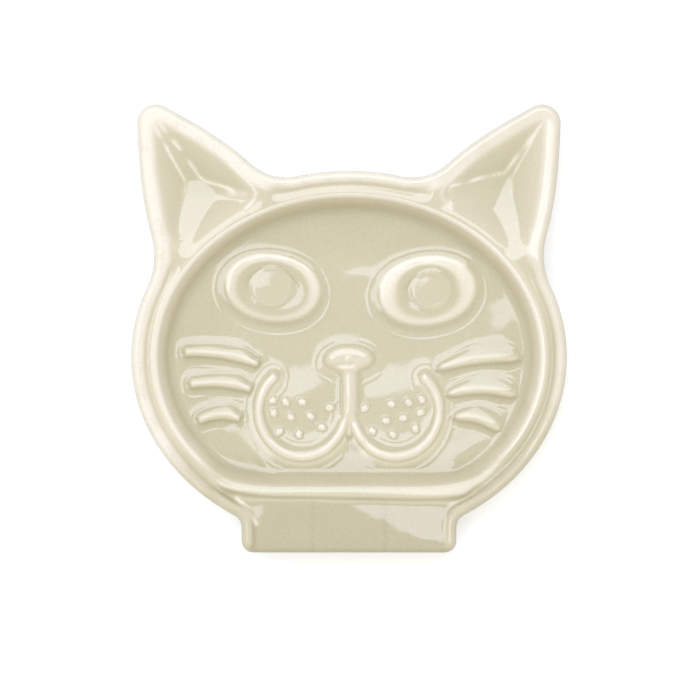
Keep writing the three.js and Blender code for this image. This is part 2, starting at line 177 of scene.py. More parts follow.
# The floor's slope to the chin: where it starts and ends, and how its ends slant
CHIN_SLOPE = 0.045
CHIN_SLOPE_START = 16.0
CHIN_SLOPE_SIDE_START = (13.0, 18, 28)
CHIN_SLOPE_END = 30.5
CHIN_SLOPE_ROUNDING = 1.5
LEFT_END_SLANT = 0.85
LEFT_END_SLANT_START = 20.0
LEFT_END_FADE = (-34.8, -29.8)
RIGHT_END_SLANT = 1.4
RIGHT_END_MIDDLE = 23.5
RIGHT_END_FADE = (-41.5, -37.5)

# Underside
WALL_THICKNESS = 4.0
BAND_THICKNESS = 5.2
WALL_TURN_HEIGHT = 4.5
FOOT_INSET = 3.4
FOOT_WIDTH = 6.0
FOOT_RECESS = 3.0
FOOT_EDGE = 1.1
UNDERSIDE_INSET = 24.0

# How thin the glaze lies, from 0 where it gathers to 1 where the clay shows through it. Some of these
# also hold painted light and painted shade, as said beside them.
UNDERSIDE_THIN = 0.4
EDGE_THIN = 0.7
GROOVE_THIN = 0.5
DEEP_GROOVE_THIN = 0.22
DEEP_GROOVE_FADES = ((20, 45), (-25, 0), (20, 34), (24, 31))
EAR_THIN = (0.34, 0.62)
EAR_DEPTH_THIN = -0.06
# Painted highlight: the lips along the edges of an ear's trough are painted pale, as bright lines.
EAR_LIP_PAINTED_HIGHLIGHT = 0.6
EAR_TROUGH_THIN = -0.05
# The bead round an ear's inner corner is painted near white: partly thin glaze over it, partly a painted
# highlight.
EAR_BEAD_THIN_AND_HIGHLIGHT = 0.92
PANEL_THIN = 0.18
PANEL_FADE = (2.7, 3.3)
PANEL_CREASE_THIN = (10.0, 0.6, -0.08)
SEAM_LIP_THIN = 3.0
SEAM_CREASE_THIN = 0.5
# Painted highlight: a pale streak along the left edge of the tab's panel, by the notch.
TAB_PAINTED_HIGHLIGHT = np.array(((-30.8, -38.8), (-25.6, -45.8)))
TAB_PAINTED_HIGHLIGHT_WIDTH = 0.7
TAB_PAINTED_HIGHLIGHT_THIN = 0.9
LOW_FADE = (6, 26)
LOW_SLANT = 0.6
LOW_SLANT_LIMIT = 14.0
RIDGE_THIN = 0.7
EAR_RIDGE_THIN = (0.5, 20, 40)
LOW_RIDGE_THIN = 0.46
CHIN_RIDGE_THIN = 0.6
RIDGE_PAINT = 1.3
CHIN_RIDGE_PAINT = 2.2
RIM_THIN = 0.97
RIGHT_RIM_THIN = (0.82, 10, 45)
LOW_RIM_THIN = 0.5
RIM_THIN_RIPPLE = 0.05
RIM_PAINT_DEPTH = 0.45
RIM_SIDE_FADE = (-1.5, 1.5)
BRIDGE_FADE = (10, 20)
BRIDGE_RIM_FADE = (-3.5, -1.8)
# The walls are paler towards their tops: partly thin glaze, partly painted light that lifts their shade,
# most on the left and less on the right.
WALL_THIN = 0.8
HIGH_WALL_THIN = (0.82, 10, 40)
LEFT_WALL_PAINTED_LIGHT = (0.45, 20, 45)
RIGHT_WALL_PAINTED_LIGHT = (0.15, 20, 45)
CHIN_WALL_THIN = (0.68, 24, 34)
WALL_CREST_THIN = 0.1
LOW_CREST_THIN = (-0.08, 5, 25)
CHIN_CREST_THIN = (-0.12, 28, 35)
WALL_CREST_PAINT = 1.6
FLOOR_THIN = 0.35
FLOOR_EDGE_THIN = (-0.1, 0.6, 1)
CHIN_FLOOR_THIN = (-0.12, 26, 31)
# Painted shadow: a small dark spot on the floor on the chin side of the right mouth curl, near the
# middle.
FLOOR_PAINTED_SHADOW = (1.9, -25.0, 1.6, 1.4, -0.35)

# Clay details: the shift of a coil's crest to the chin, how much wider its gentle side is, and its cream
EYE_LENGTH = 28.2
EYE_HEIGHT = 20.0
EYE_TILT = 8
EYE_COIL_WIDTH = 3.3
EYE_COIL_SPREAD = {"left": 1.6, "right": 1.9}
# Cream on the eye rings' crests: partly thin glaze, partly painted sheen, which makes the right ring
# paler than the left.
EYE_COIL_CREAM_AND_SHEEN = {"left": 0.5, "right": 0.62}
EYE_COIL_SHIFT = 0.6
EYE_COIL_GENTLE = 2.3
EYE_COIL_HEIGHT = 0.62
EYE_COIL_DROP = 0.22
EYE_COIL_LIP = 0.5
EYE_CORNER_SPREAD = 0.35
EYE_CORNER_INSET = 0.6
# Painted sheen: the cream runs further in at the inner sides of a ring's corners, most in the right eye.
EYE_CORNER_CREAM_AND_SHEEN = {"left": 0.4, "right": 1.1}
EYE_POOL = 0.26
EYE_POOL_EDGE = 5
IRIS_HEIGHT = 0.45
IRIS_EDGE = 1.4
IRIS_CREAM = 0.08
IRIS_DOMES = {"left": 0.04, "right": 0.02}
IRIS_RIPPLE = 0.03
NOSE_HEIGHT = 1.35
NOSE_EDGE = 3.2
NOSE_CREAM = 0.3
NOSE_DIMPLE = (-0.8, -2.1, 2.6, 0.75, 0.5)
NOSE_BRIDGE = (-0.6, 0.7, 0.6)
MOUTH_COIL_WIDTH = 4.2
MOUTH_COIL_HEIGHT = 1.2
MOUTH_COIL_SPREAD = 1.6
MOUTH_COIL_SHIFT = 0.7
MOUTH_COIL_GENTLE = 2.0
MOUTH_COIL_CREAM = 0.4
# Painted sheen: the chin side of the mouth curls' feet is painted lighter.
MOUTH_COIL_PAINTED_FOOT_SHEEN = -2.0
PHILTRUM_SIDE = 0.1
PHILTRUM_WIDTH = 6.0
PHILTRUM_HEIGHT = 0.9 * MOUTH_COIL_HEIGHT
PHILTRUM_END_HEIGHT = (0.6 * MOUTH_COIL_HEIGHT, 0.6, 1)
PHILTRUM_END_WIDTH = (0.4, 0.6, 1)
PHILTRUM_TAIL = 1.0
PHILTRUM_CREAM = 0.28
PHILTRUM_SKIRT = 1.2
PHILTRUM_GROOVE = (-2.05, 0.4, 0.5)
PHILTRUM_GROOVE_FADES = ((5, 7), (-18, -15.5))
CURL_RADIUS = 12.0
CURL_OUTER_ANGLE = 48
CURL_INNER_ANGLE = -176
CURL_END_HEIGHT = (0.65 * MOUTH_COIL_HEIGHT, 0.88, 1)
WHISKER_HEIGHT = 1.1
WHISKER_CREAM = 0.3
WHISKER_SKIRT = 2.4
WHISKER_SHIFTS = {"left": (0.95, 1.0, 1.8), "right": (1.05, 0.9, 0.75)}
LEFT_WHISKER_WIDTH = 3.1
LEFT_WHISKER_GENTLE = 2.1
LEFT_WHISKER_TAPER = 0.15
LEFT_WHISKER_START = 0.35
LEFT_WHISKER_END_WIDTH = (0.65, 0.5, 1)
LEFT_WHISKER_END_DROP = (0.4, 0.5, 1)
RIGHT_WHISKER_WIDTH = 3.5
RIGHT_WHISKER_START_GENTLE = 1.3
RIGHT_WHISKER_GENTLE = (2.4, -0.8, 0.1)
RIGHT_WHISKER_END = 0.9
FRECKLE_COUNT = 10
FRECKLE_HEIGHT = 0.62
FRECKLE_EDGE = 1.0
FRECKLE_SPREAD = 0.3
FRECKLE_CREAM = 0.45
FRECKLE_UNEVEN = 0.4
FRECKLE_LOBES = (0.1, 0.04)
SMALL_SKIRT = 0.4
# Painted light: the chin side of the feet of the nose, the irises and the freckles is painted a little
# lighter.
PAD_PAINTED_FOOT_LIGHT = -0.5
COIL_ROUNDING = 1.15
COIL_RIPPLE = 0.06

# The glaze that gathers round the foot of each detail
SKIRT_HEIGHT = 0.12
SKIRT_REACH = 3.6
LIP_HEIGHT = 0.09
LIP_PLACE = 2.05
LIP_SHIFT = 0.95
LIP_WIDTH = 0.35
LIP_SHARE = 0.6
LIP_RIPPLE = 0.9
FOOT_BLEND = 0.3
JOIN_BLEND = 0.7
PROUD = 0.02
CREAM_FADE = (0.25, 0.95)
BULGE_THIN = 0.07
# Round the foot of each detail the glaze is darker: partly glaze pooled there, partly painted shade,
# full on the chin side and a quarter as much on the side to the ears.
FOOT_POOL_AND_SHADE_THIN = (0.1, 1.1, -0.17)
FOOT_SHADE_EAR_SIDE_SHARE = 0.25

# Fineness of the meshes
OUTLINE_STEP = 0.9
EAR_STEP = 0.5
DETAIL_STEP = 0.22
COIL_STEP = 0.6
UNDERSIDE_RINGS = 13
BAND_RINGS = 64
FLOOR_RINGS = 36
NOSE_STEPS = 24
PHILTRUM_STEPS = 40
SHARP_EDGE = math.radians(75)


def smooth_min(a, b, blend):
    near = np.maximum(blend - np.abs(a - b), 0) / blend
    return np.minimum(a, b) - near**2 * blend / 4


def smooth_max(a, b, blend):
    return -smooth_min(-a, -b, blend)


def smooth_step(value, low, high):
    share = np.clip((value - low) / (high - low), 0, 1)
    return share**2 * (3 - 2 * share)


def mix(a, b, share):
    return a + (b - a) * share


def bell(value, width):
    return np.exp(-((value / width) ** 2))


def fade(start, value, end, low, high):
    """From start to end while a value runs from low to high."""
    return mix(start, end, smooth_step(value, low, high))


def fold(value, middle, width, height):
    return height * bell(value - middle, width)


def swelling(x, y, middle_x, middle_y, wide, long, height):
    return fold(x, middle_x, wide, height) * bell(y - middle_y, long)


def ripples(x, y, seed, length, count=9):
    """Soft uneven waves of about that length, from about -1 to 1."""
    chance = np.random.default_rng(seed)
    total = np.zeros_like(x)
    for _ in range(count):
        turn, phase = chance.uniform(0, 2 * math.pi, 2)
        wave = 2 * math.pi / (length * chance.uniform(0.7, 1.5))
        total += np.sin(wave * (x * math.cos(turn) + y * math.sin(turn)) + phase)
    return total * math.sqrt(2 / count) / 2


# Outline of the dish


def straight(start, end):
    count = max(1, round(math.dist(start, end) / OUTLINE_STEP))
    return [mix(start, end, i / count) for i in range(count)]


def bend(start, turn, end, step=OUTLINE_STEP):
    count = max(4, round((math.dist(start, turn) + math.dist(turn, end)) / step))
    shares = [i / count for i in range(count)]
    return [mix(mix(start, turn, s), mix(turn, end, s), s) for s in shares]


def arc(middle, radii, start, end):
    count = max(6, round(abs(end - start) * max(radii) / OUTLINE_STEP))
    angles = np.linspace(start, end, count, endpoint=False)
    return [middle + np.array(radii) * (math.cos(a), math.sin(a)) for a in angles]


HEAD_RADII = np.array((HEAD_WIDTH / 2, HEAD_LENGTH / 2))


def head_point(degrees):
    angle = math.radians(degrees)
    return HEAD_RADII * (math.cos(angle), math.sin(angle))


def head_degrees(length, degrees):
    angle = math.radians(degrees)
    speed = math.hypot(HEAD_RADII[0] * math.sin(angle), HEAD_RADII[1] * math.cos(angle))
    return math.degrees(length / speed)


def tip_touch(start, tip, side):
    """Where a line from a place touches the ear tip's circle, on its left (1) or right (-1) side."""
    reach = tip - start
    distance = np.hypot(*reach)
    angle = math.atan2(reach[1], reach[0]) + side * math.asin(EAR_TIP_RADIUS / distance)
    length = math.sqrt(distance**2 - EAR_TIP_RADIUS**2)
    return start + length * np.array((math.cos(angle), math.sin(angle)))


def ear_turn(base, tip, side):
    """The point that an ear's bowed edge bends about, out to one side of its line."""
    along = (tip - base) / math.dist(tip, base)
    return mix(base, tip, 0.5) + side * EAR_BOW * np.array((-along[1], along[0]))


NOTCH_ANGLE = -math.degrees(math.acos(TAB_WIDTH / HEAD_WIDTH))


def half_outline():
    """The right half, from the top of the head clockwise to the end of the tab."""
    tip = np.array((EAR_TIP_ACROSS, EAR_TIP_UP))
    inner_base = head_point(EAR_INNER_BASE_ANGLE)
    outer_base = head_point(EAR_OUTER_BASE_ANGLE)
    inner_turn = ear_turn(inner_base, tip, 1)
    outer_turn = ear_turn(outer_base, tip, -1)
    inner_touch = tip_touch(inner_turn, tip, 1)
    outer_touch = tip_touch(outer_turn, tip, -1)
    inner_start = EAR_INNER_BASE_ANGLE + head_degrees(EAR_INNER_FILLET, EAR_INNER_BASE_ANGLE)
    outer_end = EAR_OUTER_BASE_ANGLE - head_degrees(EAR_OUTER_FILLET, EAR_OUTER_BASE_ANGLE)
    inner_end = mix(inner_base, inner_turn, EAR_INNER_FILLET / math.dist(inner_base, inner_turn))
    outer_start = mix(outer_base, outer_turn, EAR_OUTER_FILLET / math.dist(outer_base, outer_turn))
    tip_start = math.atan2(*(inner_touch - tip)[::-1])
    tip_end = math.atan2(*(outer_touch - tip)[::-1])
    notch = head_point(NOTCH_ANGLE)
    notch_start = NOTCH_ANGLE + head_degrees(TAB_FILLET, NOTCH_ANGLE)
    notch_end = np.array((TAB_WIDTH / 2, notch[1] - TAB_FILLET))
    corner = np.array((TAB_WIDTH / 2, -TAB_REACH)) + TAB_CORNER_RADIUS * np.array((-1, 1))
    side_end = np.array((TAB_WIDTH / 2, corner[1]))
    corner_end = np.array((corner[0], -TAB_REACH))
    centre = np.zeros(2)
    tip_radii = (EAR_TIP_RADIUS, EAR_TIP_RADIUS)
    corner_radii = (TAB_CORNER_RADIUS, TAB_CORNER_RADIUS)
    return [
        *arc(centre, HEAD_RADII, math.pi / 2, math.radians(inner_start)),
        *bend(head_point(inner_start), inner_base, inner_end),
        *bend(inner_end, inner_turn, inner_touch, EAR_STEP),
        *arc(tip, tip_radii, tip_start, tip_end),
        *bend(outer_touch, outer_turn, outer_start, EAR_STEP),
        *bend(outer_start, outer_base, head_point(outer_end)),
        *arc(centre, HEAD_RADII, math.radians(outer_end), math.radians(notch_start)),
        *bend(head_point(notch_start), notch, notch_end),
        *straight(notch_end, side_end),
        *arc(corner, corner_radii, 0, -math.pi / 2),
        *straight(corner_end, np.array((0, -TAB_REACH))),
    ]


def whole_outline():
    right = np.array(half_outline())
    left = right[:0:-1] * (-1, 1)
    return np.vstack([right, [(0, -TAB_REACH)], left])


outline = whole_outline()
outline_along = np.roll(outline, -1, 0) - np.roll(outline, 1, 0)
outline_along /= np.linalg.norm(outline_along, axis=1, keepdims=True)
outline_inward = np.column_stack([outline_along[:, 1], -outline_along[:, 0]])
outline_angles = np.arctan2(outline[:, 1], outline[:, 0])


def outline_ring(inset):
    return outline + outline_inward * inset


def well_reach(angles, inset):
    across = HEAD_WIDTH / 2 - RIDGE_INSET - inset
    along = HEAD_LENGTH / 2 - RIDGE_INSET - inset
    round_reach = 1 / np.hypot(np.cos(angles) / across, np.sin(angles) / along)
    down = np.maximum(-np.sin(angles), 1e-3)
    chin_reach = (CHIN_RIDGE_REACH - inset) / down
    return smooth_min(round_reach, chin_reach, WELL_CORNER_BLEND)


def well_ring(inset):
    reach = well_reach(outline_angles, inset)
    return np.column_stack([reach * np.cos(outline_angles), reach * np.sin(outline_angles)])


def line_distance(points, starts, ends):
    """Distance from each point to the nearest of many straight lines, and which line that is."""
    along = ends - starts
    length2 = np.maximum((along**2).sum(1), 1e-12)
    distance = np.empty(len(points))
    nearest = np.empty(len(points), int)
    share = np.empty(len(points))
    for first in range(0, len(points), 2000):
        part = slice(first, first + 2000)
        offset = points[part, None, :] - starts[None]
        t = np.clip((offset * along[None]).sum(2) / length2, 0, 1)
        gap = np.linalg.norm(offset - t[..., None] * along[None], axis=2)
        best = gap.argmin(1)
        rows = np.arange(len(best))
        distance[part] = gap[rows, best]
        nearest[part] = best
        share[part] = t[rows, best]
    return distance, nearest, share


# Height of the dish

rim_crest = outline_ring(RIM_CREST_INSET)
rim_ends = np.roll(rim_crest, -1, 0)
rim_sides = np.maximum(rim_crest[:, 1], rim_ends[:, 1]) > -TAB_REACH + TAB_CORNER_RADIUS
ridge_crest = well_ring(0)


def ear_corner_lines():
    angles = np.radians([a for d in EAR_CORNER_ANGLES for a in (d, 180 - d)])
    reach = well_reach(angles, 0)
    starts = np.column_stack([np.cos(angles), np.sin(angles)]) * reach[:, None]
    return starts, starts * ((reach + 2 * RIDGE_INSET) / reach)[:, None]


def ridge_top(points):
    rise = smooth_step(points[:, 1], -CHIN_RIDGE_REACH, -CHIN_RIDGE_REACH + CHIN_RAMP_LENGTH)
    return mix(CHIN_RIDGE_HEIGHT, RIDGE_HEIGHT, rise)


def rim_top(points):
    rise = smooth_step(points[:, 1], head_point(NOTCH_ANGLE)[1], -CHIN_RIDGE_REACH)
    return mix(TAB_RIM_HEIGHT, RIM_HEIGHT, rise)


def fall(away, land):
    """Depth at a distance from a crest: a nearly level land, then a slope that flattens out."""
    past = GROOVE_ROUNDING * np.logaddexp(0, (away - land) / GROOVE_ROUNDING)
    past -= GROOVE_ROUNDING * np.logaddexp(0, -land / GROOVE_ROUNDING)
    return GROOVE_DEPTH * (1 - np.exp(-GROOVE_SLOPE * past / GROOVE_DEPTH))


def ear_fall(away, land, slope):
    """Depth at a distance from a crest inside an ear: a level land, then an even slope."""
    return slope * EAR_RIM_ROUNDING * np.logaddexp(0, (away - land) / EAR_RIM_ROUNDING)


def ear_trough(x, y):
    """Depth of the floor of the Y-shaped trough in an ear's hollow."""
    offset = np.column_stack([np.abs(x - EAR_TROUGH_ASIDE), y]) - EAR_MIDDLE
    depth = np.full(len(x), EAR_TROUGH_DEPTH)
    for corner, rise in zip(EAR_CORNERS - EAR_MIDDLE, EAR_TROUGH_RISES):
        along = offset @ corner / np.hypot(*corner)
        depth = smooth_min(depth, EAR_TROUGH_DEPTH - rise * along, EAR_TROUGH_EDGE)
    return depth


def below_chin(x, y):
    return -y - CHIN_RIDGE_REACH - CHIN_SKEW * x


def panel_lift(x, y):
    """The tab's panel is gently twisted: its right part tilts more towards the left ear."""
    across, up = x - PANEL_TWIST[0], y - PANEL_TWIST[1]
    to_ear = TO_LEFT_EAR[0] * across + TO_LEFT_EAR[1] * up
    to_right = TO_LEFT_EAR[1] * across - TO_LEFT_EAR[0] * up
    tilt = fade(PANEL_TILT, to_right + PANEL_TWIST_SLANT * to_ear, *RIGHT_PANEL_TILT)
    turned_down = PANEL_TURN * np.maximum(-y - PANEL_TURN_START, 0) ** 2
    lift = PANEL_RIPPLE * ripples(x, y, 8, 8) - tilt * to_ear - PANEL_DROP
    return lift + swelling(x, y, *PANEL_SWELLING) + fold(np.abs(x), *PANEL_CREASE) - turned_down


def tab_seam(x, y):
    """The crease under the chin's ridge and the lip of glaze along the top of the tab's panel."""
    down = below_chin(x, y) + SEAM_RIPPLE * ripples(x, y * 0, 9, 14)
    within = smooth_step(TAB_WIDTH / 2 - np.abs(x), *SEAM_END_FADE)
    return (fold(down, *SEAM_LIP) + fold(down, *SEAM_CREASE)) * within


def hollow_blend(x, y):
    """How softly the faces of an ear's hollow meet: sharp in its middle, round towards its corners."""
    outer, tip, inner = HOLLOW_CORNER_BLENDS
    return HOLLOW_BLEND + fade(0, -y, *outer) + fade(0, y, *tip) + fade(0, -np.abs(x), *inner)


def ear_rim_slope(mirrored):
    base, tip = EAR_AXIS
    to_tip = (tip - base) / math.dist(tip, base)
    across = (mirrored - base) @ (-to_tip[1], to_tip[0])
    return fade(EAR_SLOPE, across, *EAR_INNER_SLOPE)


def band_place(points):
    """Where points lie in the band between the rim's crest and the ridge."""
    x, y = points.T
    to_rim = line_distance(points, rim_crest[rim_sides], rim_ends[rim_sides])[0]
    to_ridge = line_distance(points, ridge_crest, np.roll(ridge_crest, -1, 0))[0]
    to_corner = line_distance(points, *ear_corner_lines())[0]
    mirrored = np.column_stack([np.abs(x), y])
    to_bead = line_distance(mirrored, EAR_BEAD[:-1], EAR_BEAD[1:])[0]
    return SimpleNamespace(
        x=x,
        y=y,
        to_rim=to_rim,
        to_ridge=to_ridge,
        mirrored=mirrored,
        in_ear=smooth_step(to_rim + to_ridge, *EAR_FADE) * (y > 0),
        at_chin=smooth_step(-y, *CHIN_FADE) * smooth_step(-x, *CHIN_END_FADE),
        on_bridge=bell(to_corner, EAR_BRIDGE_WIDTH),
        on_bead=np.where(x > 0, RIGHT_BEAD_SHARE, 1) * bell(to_bead, EAR_BEAD_WIDTH),
    )


def groove_depth(at):
    """Depth of the groove and of the ears' hollows, with what of it is a lip and what a trough."""
    rim_land = fade(RIM_LAND, -at.x, *LEFT_RIM_LAND)
    ear_rim = ear_fall(at.to_rim, EAR_RIM_LAND, ear_rim_slope(at.mirrored))
    ridge_land = mix(RIDGE_LAND, CHIN_RIDGE_LAND + CHIN_SKEW * at.x, at.at_chin)
    ear_ridge = ear_fall(at.to_ridge, EAR_RIDGE_LAND, EAR_SLOPE)
    groove = smooth_min(
        mix(fall(at.to_rim, rim_land), ear_rim, at.in_ear),
        mix(fall(at.to_ridge, ridge_land), ear_ridge, at.in_ear),
        mix(GROOVE_BLEND, hollow_blend(at.x, at.y), at.in_ear),
    )
    trough = mix(GROOVE_DEPTH, ear_trough(at.x, at.y), at.in_ear)
    past = groove - trough
    lip = EAR_LIP * at.in_ear * bell(past, EAR_LIP_WIDTH) * smooth_step(at.y, *EAR_LIP_FADE)
    lip *= np.clip(EAR_LIP_SHARE + ripples(at.x, at.y, 22, 8), 0, 1)
    inner, upper = EAR_TROUGH_FADES
    in_trough = at.in_ear * smooth_step(past, *inner) * smooth_step(at.y, *upper)
    groove = smooth_min(groove, trough, EAR_TROUGH_EDGE) - lip
    groove = groove * (1 - EAR_BRIDGE * at.on_bridge) - EAR_BEAD_HEIGHT * at.on_bead
    uneven = EAR_RIPPLE * ripples(at.x, at.y, 21, 7) * smooth_step(groove, *EAR_RIPPLE_FADE)
    return np.maximum(groove, 0) + at.in_ear * uneven, lip, in_trough


def band_thin(at, groove, lip, in_trough, seam):
    """How thin the glaze lies on the band: thin on its crests, thick in the groove and on the tab."""
    low = smooth_step(np.clip(LOW_SLANT * at.x, -LOW_SLANT_LIMIT, 0) - at.y, *LOW_FADE)
    right, middle, foot, side = DEEP_GROOVE_FADES
    at_right = smooth_step(at.x, *right) * smooth_step(-at.y, *middle)
    at_foot = smooth_step(-at.y, *foot) * smooth_step(np.abs(at.x), *side)
    in_groove = mix(GROOVE_THIN, DEEP_GROOVE_THIN, np.maximum(at_right, at_foot))
    thin = mix(in_groove, np.clip(EAR_THIN[1] + EAR_DEPTH_THIN * groove, *EAR_THIN), at.in_ear)
    # The ears' lips are painted pale as highlight lines.
    thin += EAR_LIP_PAINTED_HIGHLIGHT * lip / EAR_LIP + EAR_TROUGH_THIN * in_trough

    panel = PANEL_THIN + fold(np.abs(at.x), *PANEL_CREASE_THIN)
    panel += np.where(seam > 0, SEAM_LIP_THIN, SEAM_CREASE_THIN) * seam
    thin = mix(thin, panel, smooth_step(below_chin(at.x, at.y), *PANEL_FADE))
    # Painted highlight along the left edge of the tab's panel.
    to_painted_highlight = line_distance(np.column_stack([at.x, at.y]), TAB_PAINTED_HIGHLIGHT[:1], TAB_PAINTED_HIGHLIGHT[1:])[0]
    thin = mix(thin, TAB_PAINTED_HIGHLIGHT_THIN, bell(to_painted_highlight, TAB_PAINTED_HIGHLIGHT_WIDTH))

    ridge = mix(fade(RIDGE_THIN, at.y, *EAR_RIDGE_THIN), LOW_RIDGE_THIN, low)
    ridge = mix(ridge, CHIN_RIDGE_THIN, at.at_chin)
    thin = mix(thin, ridge, bell(at.to_ridge, mix(RIDGE_PAINT, CHIN_RIDGE_PAINT, at.at_chin)))
    on_rim = bell(groove, RIM_PAINT_DEPTH) * smooth_step(at.to_ridge - at.to_rim, *RIM_SIDE_FADE)
    on_bridge = smooth_step(at.y, *BRIDGE_FADE) * at.on_bridge
    on_rim *= mix(1, smooth_step(-at.to_rim, *BRIDGE_RIM_FADE), on_bridge)
    rim = mix(fade(RIM_THIN, at.x, *RIGHT_RIM_THIN), LOW_RIM_THIN, low)
    rim += RIM_THIN_RIPPLE * ripples(at.x, at.y, 41, 8)
    # The bead is painted near white: thin glaze and a painted highlight.
    return mix(mix(thin, rim, on_rim), EAR_BEAD_THIN_AND_HIGHLIGHT, at.on_bead)


def band_top(points):
    """Height of the glazed face between the rim's crest and the ridge, and the glaze's thinness."""
    at = band_place(points)
    groove, lip, in_trough = groove_depth(at)
    seam = tab_seam(at.x, at.y)
    panel = smooth_min(groove, PANEL_DEPTH, PANEL_ROUNDING)
    inside = smooth_step(panel, *PANEL_EDGE_FADE)
    panel -= panel_lift(at.x, at.y) * inside + seam
    on_tab = smooth_step(-at.y - CHIN_RIDGE_REACH, -TAB_BLEND, TAB_BLEND)
    crest = mix(ridge_top(points), rim_top(points), at.to_ridge / (at.to_rim + at.to_ridge))
    crest = mix(crest, TAB_RIM_HEIGHT, on_tab * inside)
    height = crest - mix(groove, panel, on_tab)
    return height, band_thin(at, groove, lip, in_trough, seam)


CREST_RUN = RIDGE_RADIUS * math.sin(WALL_ANGLE)
CREST_DROP = RIDGE_RADIUS * (1 - math.cos(WALL_ANGLE))
FILLET_DROP = FLOOR_FILLET * (1 - math.cos(WALL_ANGLE))


def slope_inset(drop):
    return CREST_RUN + (drop - CREST_DROP) / math.tan(WALL_ANGLE)


FLOOR_INSET = slope_inset(WELL_DEPTH - FILLET_DROP) + FLOOR_FILLET * math.sin(WALL_ANGLE)


def outer_inset(drop):
    return slope_inset(drop) - WALL_THICKNESS / math.sin(WALL_ANGLE)


def floor_lift(x, y):
    """How far the glazed floor stands over a flat one: a shallow bowl with slopes and soft ripples."""
    reach = well_reach(np.arctan2(y, x), FLOOR_INSET)
    share = np.minimum(np.hypot(x, y) / reach, 1)
    lift = FLOOR_BOWL * share**3
    lift += FLOOR_RIPPLE * ripples(x, y, 5, 17) + FLOOR_GRAIN * ripples(x, y, 6, 6)
    start = fade(CHIN_SLOPE_START, np.abs(x), *CHIN_SLOPE_SIDE_START)
    to_chin = np.logaddexp(0, (-y - start) / CHIN_SLOPE_ROUNDING)
    to_chin -= np.logaddexp(0, (-y - CHIN_SLOPE_END) / CHIN_SLOPE_ROUNDING)
    to_chin *= smooth_step(x - LEFT_END_SLANT * np.maximum(-y - LEFT_END_SLANT_START, 0), *LEFT_END_FADE)
    to_chin *= smooth_step(RIGHT_END_SLANT * (y + RIGHT_END_MIDDLE) - x, *RIGHT_END_FADE)
    lift += CHIN_SLOPE * CHIN_SLOPE_ROUNDING * to_chin
    return lift + sum(swelling(x, y, *each) for each in FLOOR_SWELLINGS)


def floor_thin(x, y):
    """How thin the glaze lies on the floor: it gathers towards the foot of the wall."""
    share = np.hypot(x, y) / well_reach(np.arctan2(y, x), FLOOR_INSET)
    thin = FLOOR_THIN + fade(0, share, *FLOOR_EDGE_THIN) + fade(0, -y, *CHIN_FLOOR_THIN)
    # Painted shadow: the dark spot by the right mouth curl.
    return thin + swelling(x, y, *FLOOR_PAINTED_SHADOW)


def wall_thin(x, y, inset, drop):
    """How thin the glaze lies on the wall: thinner towards its top, with painted light lifting the shade
    there, most of all on the left.
    """
    top = fade(WALL_THIN, y, *HIGH_WALL_THIN)
    # Painted light that lifts the shade of the left and right walls.
    top += fade(0, -x, *LEFT_WALL_PAINTED_LIGHT) + fade(0, x, *RIGHT_WALL_PAINTED_LIGHT)
    top = fade(top, -y, *CHIN_WALL_THIN)
    crest = fade(WALL_CREST_THIN, -y, *LOW_CREST_THIN) + fade(0, -y, *CHIN_CREST_THIN)
    return mix(top, floor_thin(x, y), drop / WELL_DEPTH) + crest * bell(inset, WALL_CREST_PAINT)


def wall_places():
    """Places down the wall, as insets from the ridge and drops below it."""
    turns = np.linspace(0, WALL_ANGLE, 9)[1:]
    places = [(RIDGE_RADIUS * math.sin(t), RIDGE_RADIUS * (1 - math.cos(t))) for t in turns]
    for drop in np.linspace(CREST_DROP, WELL_DEPTH - FILLET_DROP, 8)[1:-1]:
        places.append((slope_inset(drop), drop))
    for t in np.linspace(WALL_ANGLE, 0, 11):
        drop = WELL_DEPTH - FLOOR_FILLET * (1 - math.cos(t))
        places.append((FLOOR_INSET - FLOOR_FILLET * math.sin(t), drop))
    return places


